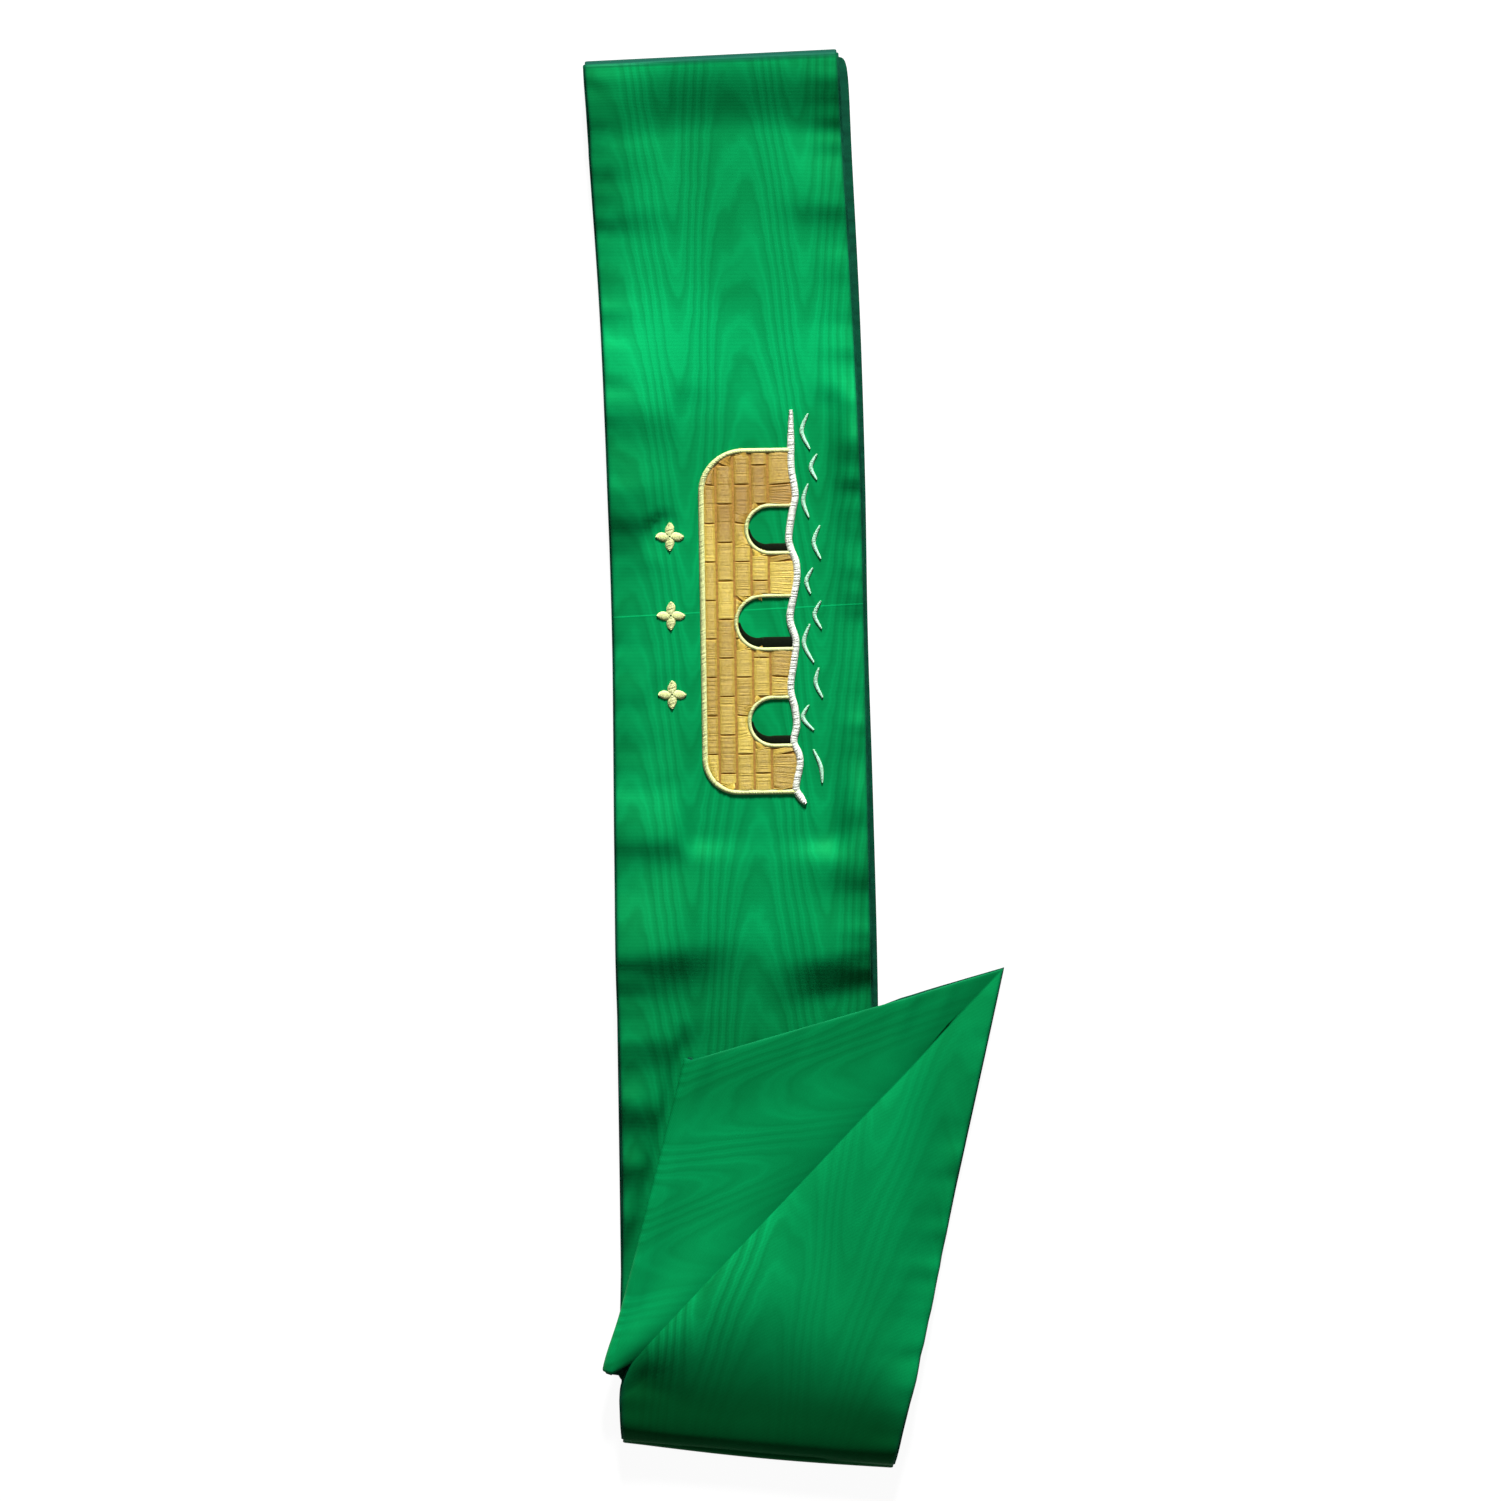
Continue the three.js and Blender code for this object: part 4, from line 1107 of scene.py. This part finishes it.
def satin_mesh(name, paths, material, pitch, thickness, rise, slant=0.0, lift=0.0):
    """Satin stitch along paths of (x, y, breadth, tone) rows told on the embroidery."""
    vertices, edges, breadths, tones = [], [], [], []
    for path in paths:
        start = len(vertices)
        for x, y, breadth, tone in path:
            vertices.append(embroidered(x, y, lift))
            breadths.append(breadth)
            tones.append(tone)
        edges += [(i, i + 1) for i in range(start, len(vertices) - 1)]
    mesh = bpy.data.meshes.new(name + "_path")
    mesh.from_pydata(vertices, edges, [])
    mesh.attributes.new("breadth", "FLOAT", "POINT").data.foreach_set("value", breadths)
    mesh.attributes.new("tone", "FLOAT", "POINT").data.foreach_set("value", tones)
    carrier = bpy.data.objects.new(name + "_path", mesh)
    scene.collection.objects.link(carrier)
    modifier = carrier.modifiers.new("satin", "NODES")
    modifier.node_group = satin
    given = {
        "Thread pitch": pitch,
        "Thread thickness": thickness,
        "Rise": rise,
        "Slant": slant,
        "Thread": material,
    }
    for item in satin.interface.items_tree:
        if item.in_out == "INPUT" and item.name in given:
            modifier[item.identifier] = given[item.name]
    graph = bpy.context.evaluated_depsgraph_get()
    made = bpy.data.meshes.new_from_object(carrier.evaluated_get(graph))
    made.name = name
    bpy.data.objects.remove(carrier)
    return made


def flecked(name, scale, detail):
    look = Shader(name)
    place = look.node("ShaderNodeTexCoord").outputs["Object"]
    values = {"Vector": place, "Scale": scale, "Detail": detail}
    return look, look.node("ShaderNodeTexNoise", values).outputs["Fac"]


def thread_finish(name, dark, light, roughness=0.42, shine=0.4):
    look, fleck = flecked(name, scale=900.0, detail=2.0)
    mixed = look.added(look.attribute("tone"), look.scaled(look.less(fleck, 0.5), 0.7))
    colour = look.ramp(mixed, [(0.0, (*dark, 1.0)), (1.0, (*light, 1.0))], smoothly=False)
    look.set(Base_Color=colour, Roughness=roughness, Specular_IOR_Level=shine, Sheen_Weight=0.2 * shine)
    look.bump(fleck, 0.00004, strength=0.5)
    return look.material


def ground_finish(name, dark, light):
    look, felt = flecked(name, scale=1400.0, detail=3.0)
    colour = look.ramp(felt, [(0.3, (*dark, 1.0)), (0.7, (*light, 1.0))], smoothly=False)
    look.set(Base_Color=colour, Roughness=0.85, Specular_IOR_Level=0.2, Sheen_Weight=0.2)
    look.bump(felt, 0.00008, strength=0.6)
    return look.material


def join_meshes(name, meshes):
    parts = [bpy.data.objects.new(name + "_part", mesh) for mesh in meshes]
    for part in parts:
        scene.collection.objects.link(part)
    with bpy.context.temp_override(active_object=parts[0], selected_editable_objects=parts):
        bpy.ops.object.join()
    parts[0].name = name
    return parts[0]


courses = 5
brick_length = 0.0155
joint = 0.0009
course_height = 0.0070
first_course = -0.0198
stitch_step = 0.0004
shortest_stitch = 0.0006
brick_tone_range = (0.25, 0.85)
ageing, ageing_run = 0.55, (0.020, 0.060)
brick_tones = np.random.default_rng(11)


def brick_paths():
    """The stitches of each brick, darker towards the bridge's end by the shoulder fold."""
    paths = []
    for course in range(courses):
        shift = (course % 2) * brick_length / 2
        low_edge = first_course + course * course_height + joint / 2
        high_edge = low_edge + course_height - joint
        start = -bridge_length / 2 - shift
        while start < bridge_length / 2:
            tone = brick_tones.uniform(*brick_tone_range)
            path = []
            for x in np.arange(start + joint / 2, start + brick_length - joint / 2, stitch_step):
                if abs(x) > bridge_length / 2 - outline_cord_width / 2:
                    continue
                foot, top = field_bounds(x, outline_cord_width / 2, arch_cord_width / 2)
                low_end = foot if course == 0 else max(foot, low_edge)
                high_end = min(top, high_edge)
                if high_end - low_end > shortest_stitch:
                    aged = tone - ageing * float(smooth(x, *ageing_run))
                    path.append((x, (low_end + high_end) / 2, high_end - low_end, aged))
            if len(path) > 2:
                paths.append(path)
            start += brick_length
    return paths


gold_thread = thread_finish("gold_thread", (0.38, 0.22, 0.026), (0.72, 0.56, 0.095))
brick_ground = ground_finish("brick_ground", (0.20, 0.10, 0.015), (0.36, 0.19, 0.030))
ground_mesh = field_mesh(thickness=0.00035)
ground_mesh.materials.append(brick_ground)
brick_mesh = satin_mesh(
    "bricks", brick_paths(), gold_thread, pitch=0.00038, thickness=0.00040, rise=0.00045, lift=0.0002
)
masonry = join_meshes("stitched_masonry", [ground_mesh, brick_mesh])
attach(masonry, "root")
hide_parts("bridge_masonry")


# The pale gold cords: silk cord laid round the bridge and round each arch and sewn down with close
# slanting stitches.
pale_gold_thread = thread_finish("pale_gold_cord", (0.40, 0.45, 0.17), (0.66, 0.70, 0.33))


cord_tone, shade_tone, petal_tone = 0.6, 0.5, 0.7
parapet_swell, parapet_swell_height = (0.90, 0.22), 0.012


def cord_piece(name, paths, node_names, slot, material, **stitch):
    made = bpy.data.objects.new(name, satin_mesh(name, paths, material, **stitch))
    scene.collection.objects.link(made)
    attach(made, "root")
    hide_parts(*node_names)
    return made


def parapet_rows():
    """The cord round the bridge, a little broader along the top."""
    rows = []
    for x, y in parapet_points(0.0):
        share = smooth(y, bridge_top - parapet_swell_height, bridge_top)
        breadth = outline_cord_width * (parapet_swell[0] + parapet_swell[1] * share)
        rows.append((x, y, breadth, cord_tone))
    return rows


parapet_cord = cord_piece(
    "parapet_cord", [parapet_rows()], ["bridge_outline_cord"], "pale_gold_cord", pale_gold_thread,
    pitch=0.00036, thickness=0.00042, rise=0.0009, slant=0.5,
)
arch_cords = [
    cord_piece(
        f"arch_edge_{number}",
        [[(x, y, arch_cord_width, cord_tone) for x, y in arch_points(arch)]],
        [f"arch_cord_{number}"], "pale_gold_cord", pale_gold_thread,
        pitch=0.00036, thickness=0.00040, rise=0.0008, slant=0.5,
    )
    for number, arch in enumerate(arches, start=1)
]


# The black satin stitch in the shade of each arch, along the side away from the light.
black_thread = thread_finish("black_satin", (0.002, 0.004, 0.001), (0.006, 0.012, 0.003), 0.8, 0.05)
shadow_depths = (0.0031, 0.0042, 0.0033)
shadow_taper = 0.8


def shadow_path(arch, shadow_depth):
    middle, radius, crown = arch
    outer = radius - arch_cord_width / 2
    spring = crown - radius
    path = [
        (middle - outer + shadow_depth / 2, y, shadow_depth, shade_tone)
        for y in np.linspace(water_level(middle - outer), spring, 12, endpoint=False)
    ]
    for share in np.linspace(0, 1, 24):
        depth = shadow_depth * (1 - shadow_taper * share)
        angle = math.pi - share * math.pi / 2
        at = outer - depth / 2
        place = (middle + at * math.cos(angle), spring + at * math.sin(angle))
        path.append((*place, depth, shade_tone))
    return path


arch_shades = [
    cord_piece(
        f"arch_shade_{number}", [shadow_path(arch, shadow_depths[number - 1])],
        [f"arch_shadow_{number}"], "black_satin", black_thread,
        pitch=0.00034, thickness=0.00036, rise=0.00035,
    )
    for number, arch in enumerate(arches, start=1)
]


# The water: one broad line of padded white satin stitch that wanders along the bridge's foot, and
# single waves below it, each a short tapering stroke of satin stitch.
white_thread = thread_finish("white_thread", (0.60, 0.64, 0.55), (0.84, 0.86, 0.78))
wave_thread = thread_finish("wave_thread", (0.22, 0.50, 0.33), (0.46, 0.72, 0.55))
water_width = 0.0027
water_end, water_widening = 0.45, 14
wave_width = 0.0015
wave_end, wave_swell = 0.3, 0.7
waves = [
    (0.605, 0.503, 0.896, 0.820, 0.915),
    (0.486, 0.413, 0.997, 0.924, 0.994),
    (0.399, 0.303, 0.884, 0.824, 0.890),
    (0.277, 0.181, 1.021, 0.945, 1.027),
    (0.153, 0.080, 0.927, 0.848, 0.896),
    (0.056, -0.023, 1.018, 0.942, 1.024),
    (-0.011, -0.121, 0.881, 0.806, 0.921),
    (-0.140, -0.225, 0.982, 0.942, 1.024),
    (-0.248, -0.320, 0.850, 0.780, 0.909),
    (-0.379, -0.475, 0.905, 0.988, 1.006),
]


def water_path():
    points = [(x * bridge_length, -y * bridge_height) for x, y in water_line]
    shares = np.linspace(0, 1, 160)
    ends = np.minimum(shares, 1 - shares) * water_widening
    breadths = water_width * np.clip(water_end + ends, 0.0, 1.0)
    return [(x, y, b, cord_tone) for (x, y), b in zip(spline(points, shares), breadths)]


def wave_path(start, end, first, middle, last):
    points = [
        (start * bridge_length, -first * bridge_height),
        ((start + end) / 2 * bridge_length, -middle * bridge_height),
        (end * bridge_length, -last * bridge_height),
    ]
    shares = np.linspace(0, 1, 24)
    breadths = wave_width * (wave_end + wave_swell * np.sin(math.pi * shares))
    return [(x, y, b, cord_tone) for (x, y), b in zip(spline(points, shares), breadths)]


water = cord_piece(
    "water_stitching", [water_path()], ["water_cord"], "white_thread", white_thread,
    pitch=0.00036, thickness=0.00040, rise=0.0011, slant=0.12,
)
wave_strokes = cord_piece(
    "wave_strokes",
    [wave_path(*wave) for wave in waves],
    [f"wave_stitch_{number:02d}" for number in range(1, len(waves) + 1)],
    "wave_thread", wave_thread,
    pitch=0.00034, thickness=0.00038, rise=0.0005, slant=0.35,
)


# Three small ornaments above the parapet: four petals of pale gold satin stitch round a knot.
motif_span = 0.011
petal_start, petal_run, petal_breadth = 0.05, 0.45, 0.0036
petal_root, petal_swell, petal_fullness = 0.12, 0.86, 0.7


def petal_path(centre_x, centre_y, angle):
    path = []
    for share in np.linspace(0, 1, 16):
        at = motif_span * (petal_start + petal_run * share)
        swell = math.sin(math.pi * (petal_root + petal_swell * share)) ** petal_fullness
        place = (centre_x + at * math.cos(angle), centre_y + at * math.sin(angle))
        path.append((*place, petal_breadth * swell, petal_tone))
    return path


def motif_paths(number):
    centre_x = motif_start + number * motif_spacing
    return [petal_path(centre_x, motif_level, math.pi / 2 * quarter) for quarter in range(4)]


motifs = [
    cord_piece(
        f"petal_ornament_{number + 1}", motif_paths(number), [f"motif_{number + 1}"],
        "pale_gold_cord", pale_gold_thread,
        pitch=0.00034, thickness=0.00038, rise=0.0006, slant=0.3,
    )
    for number in range(motif_count)
]
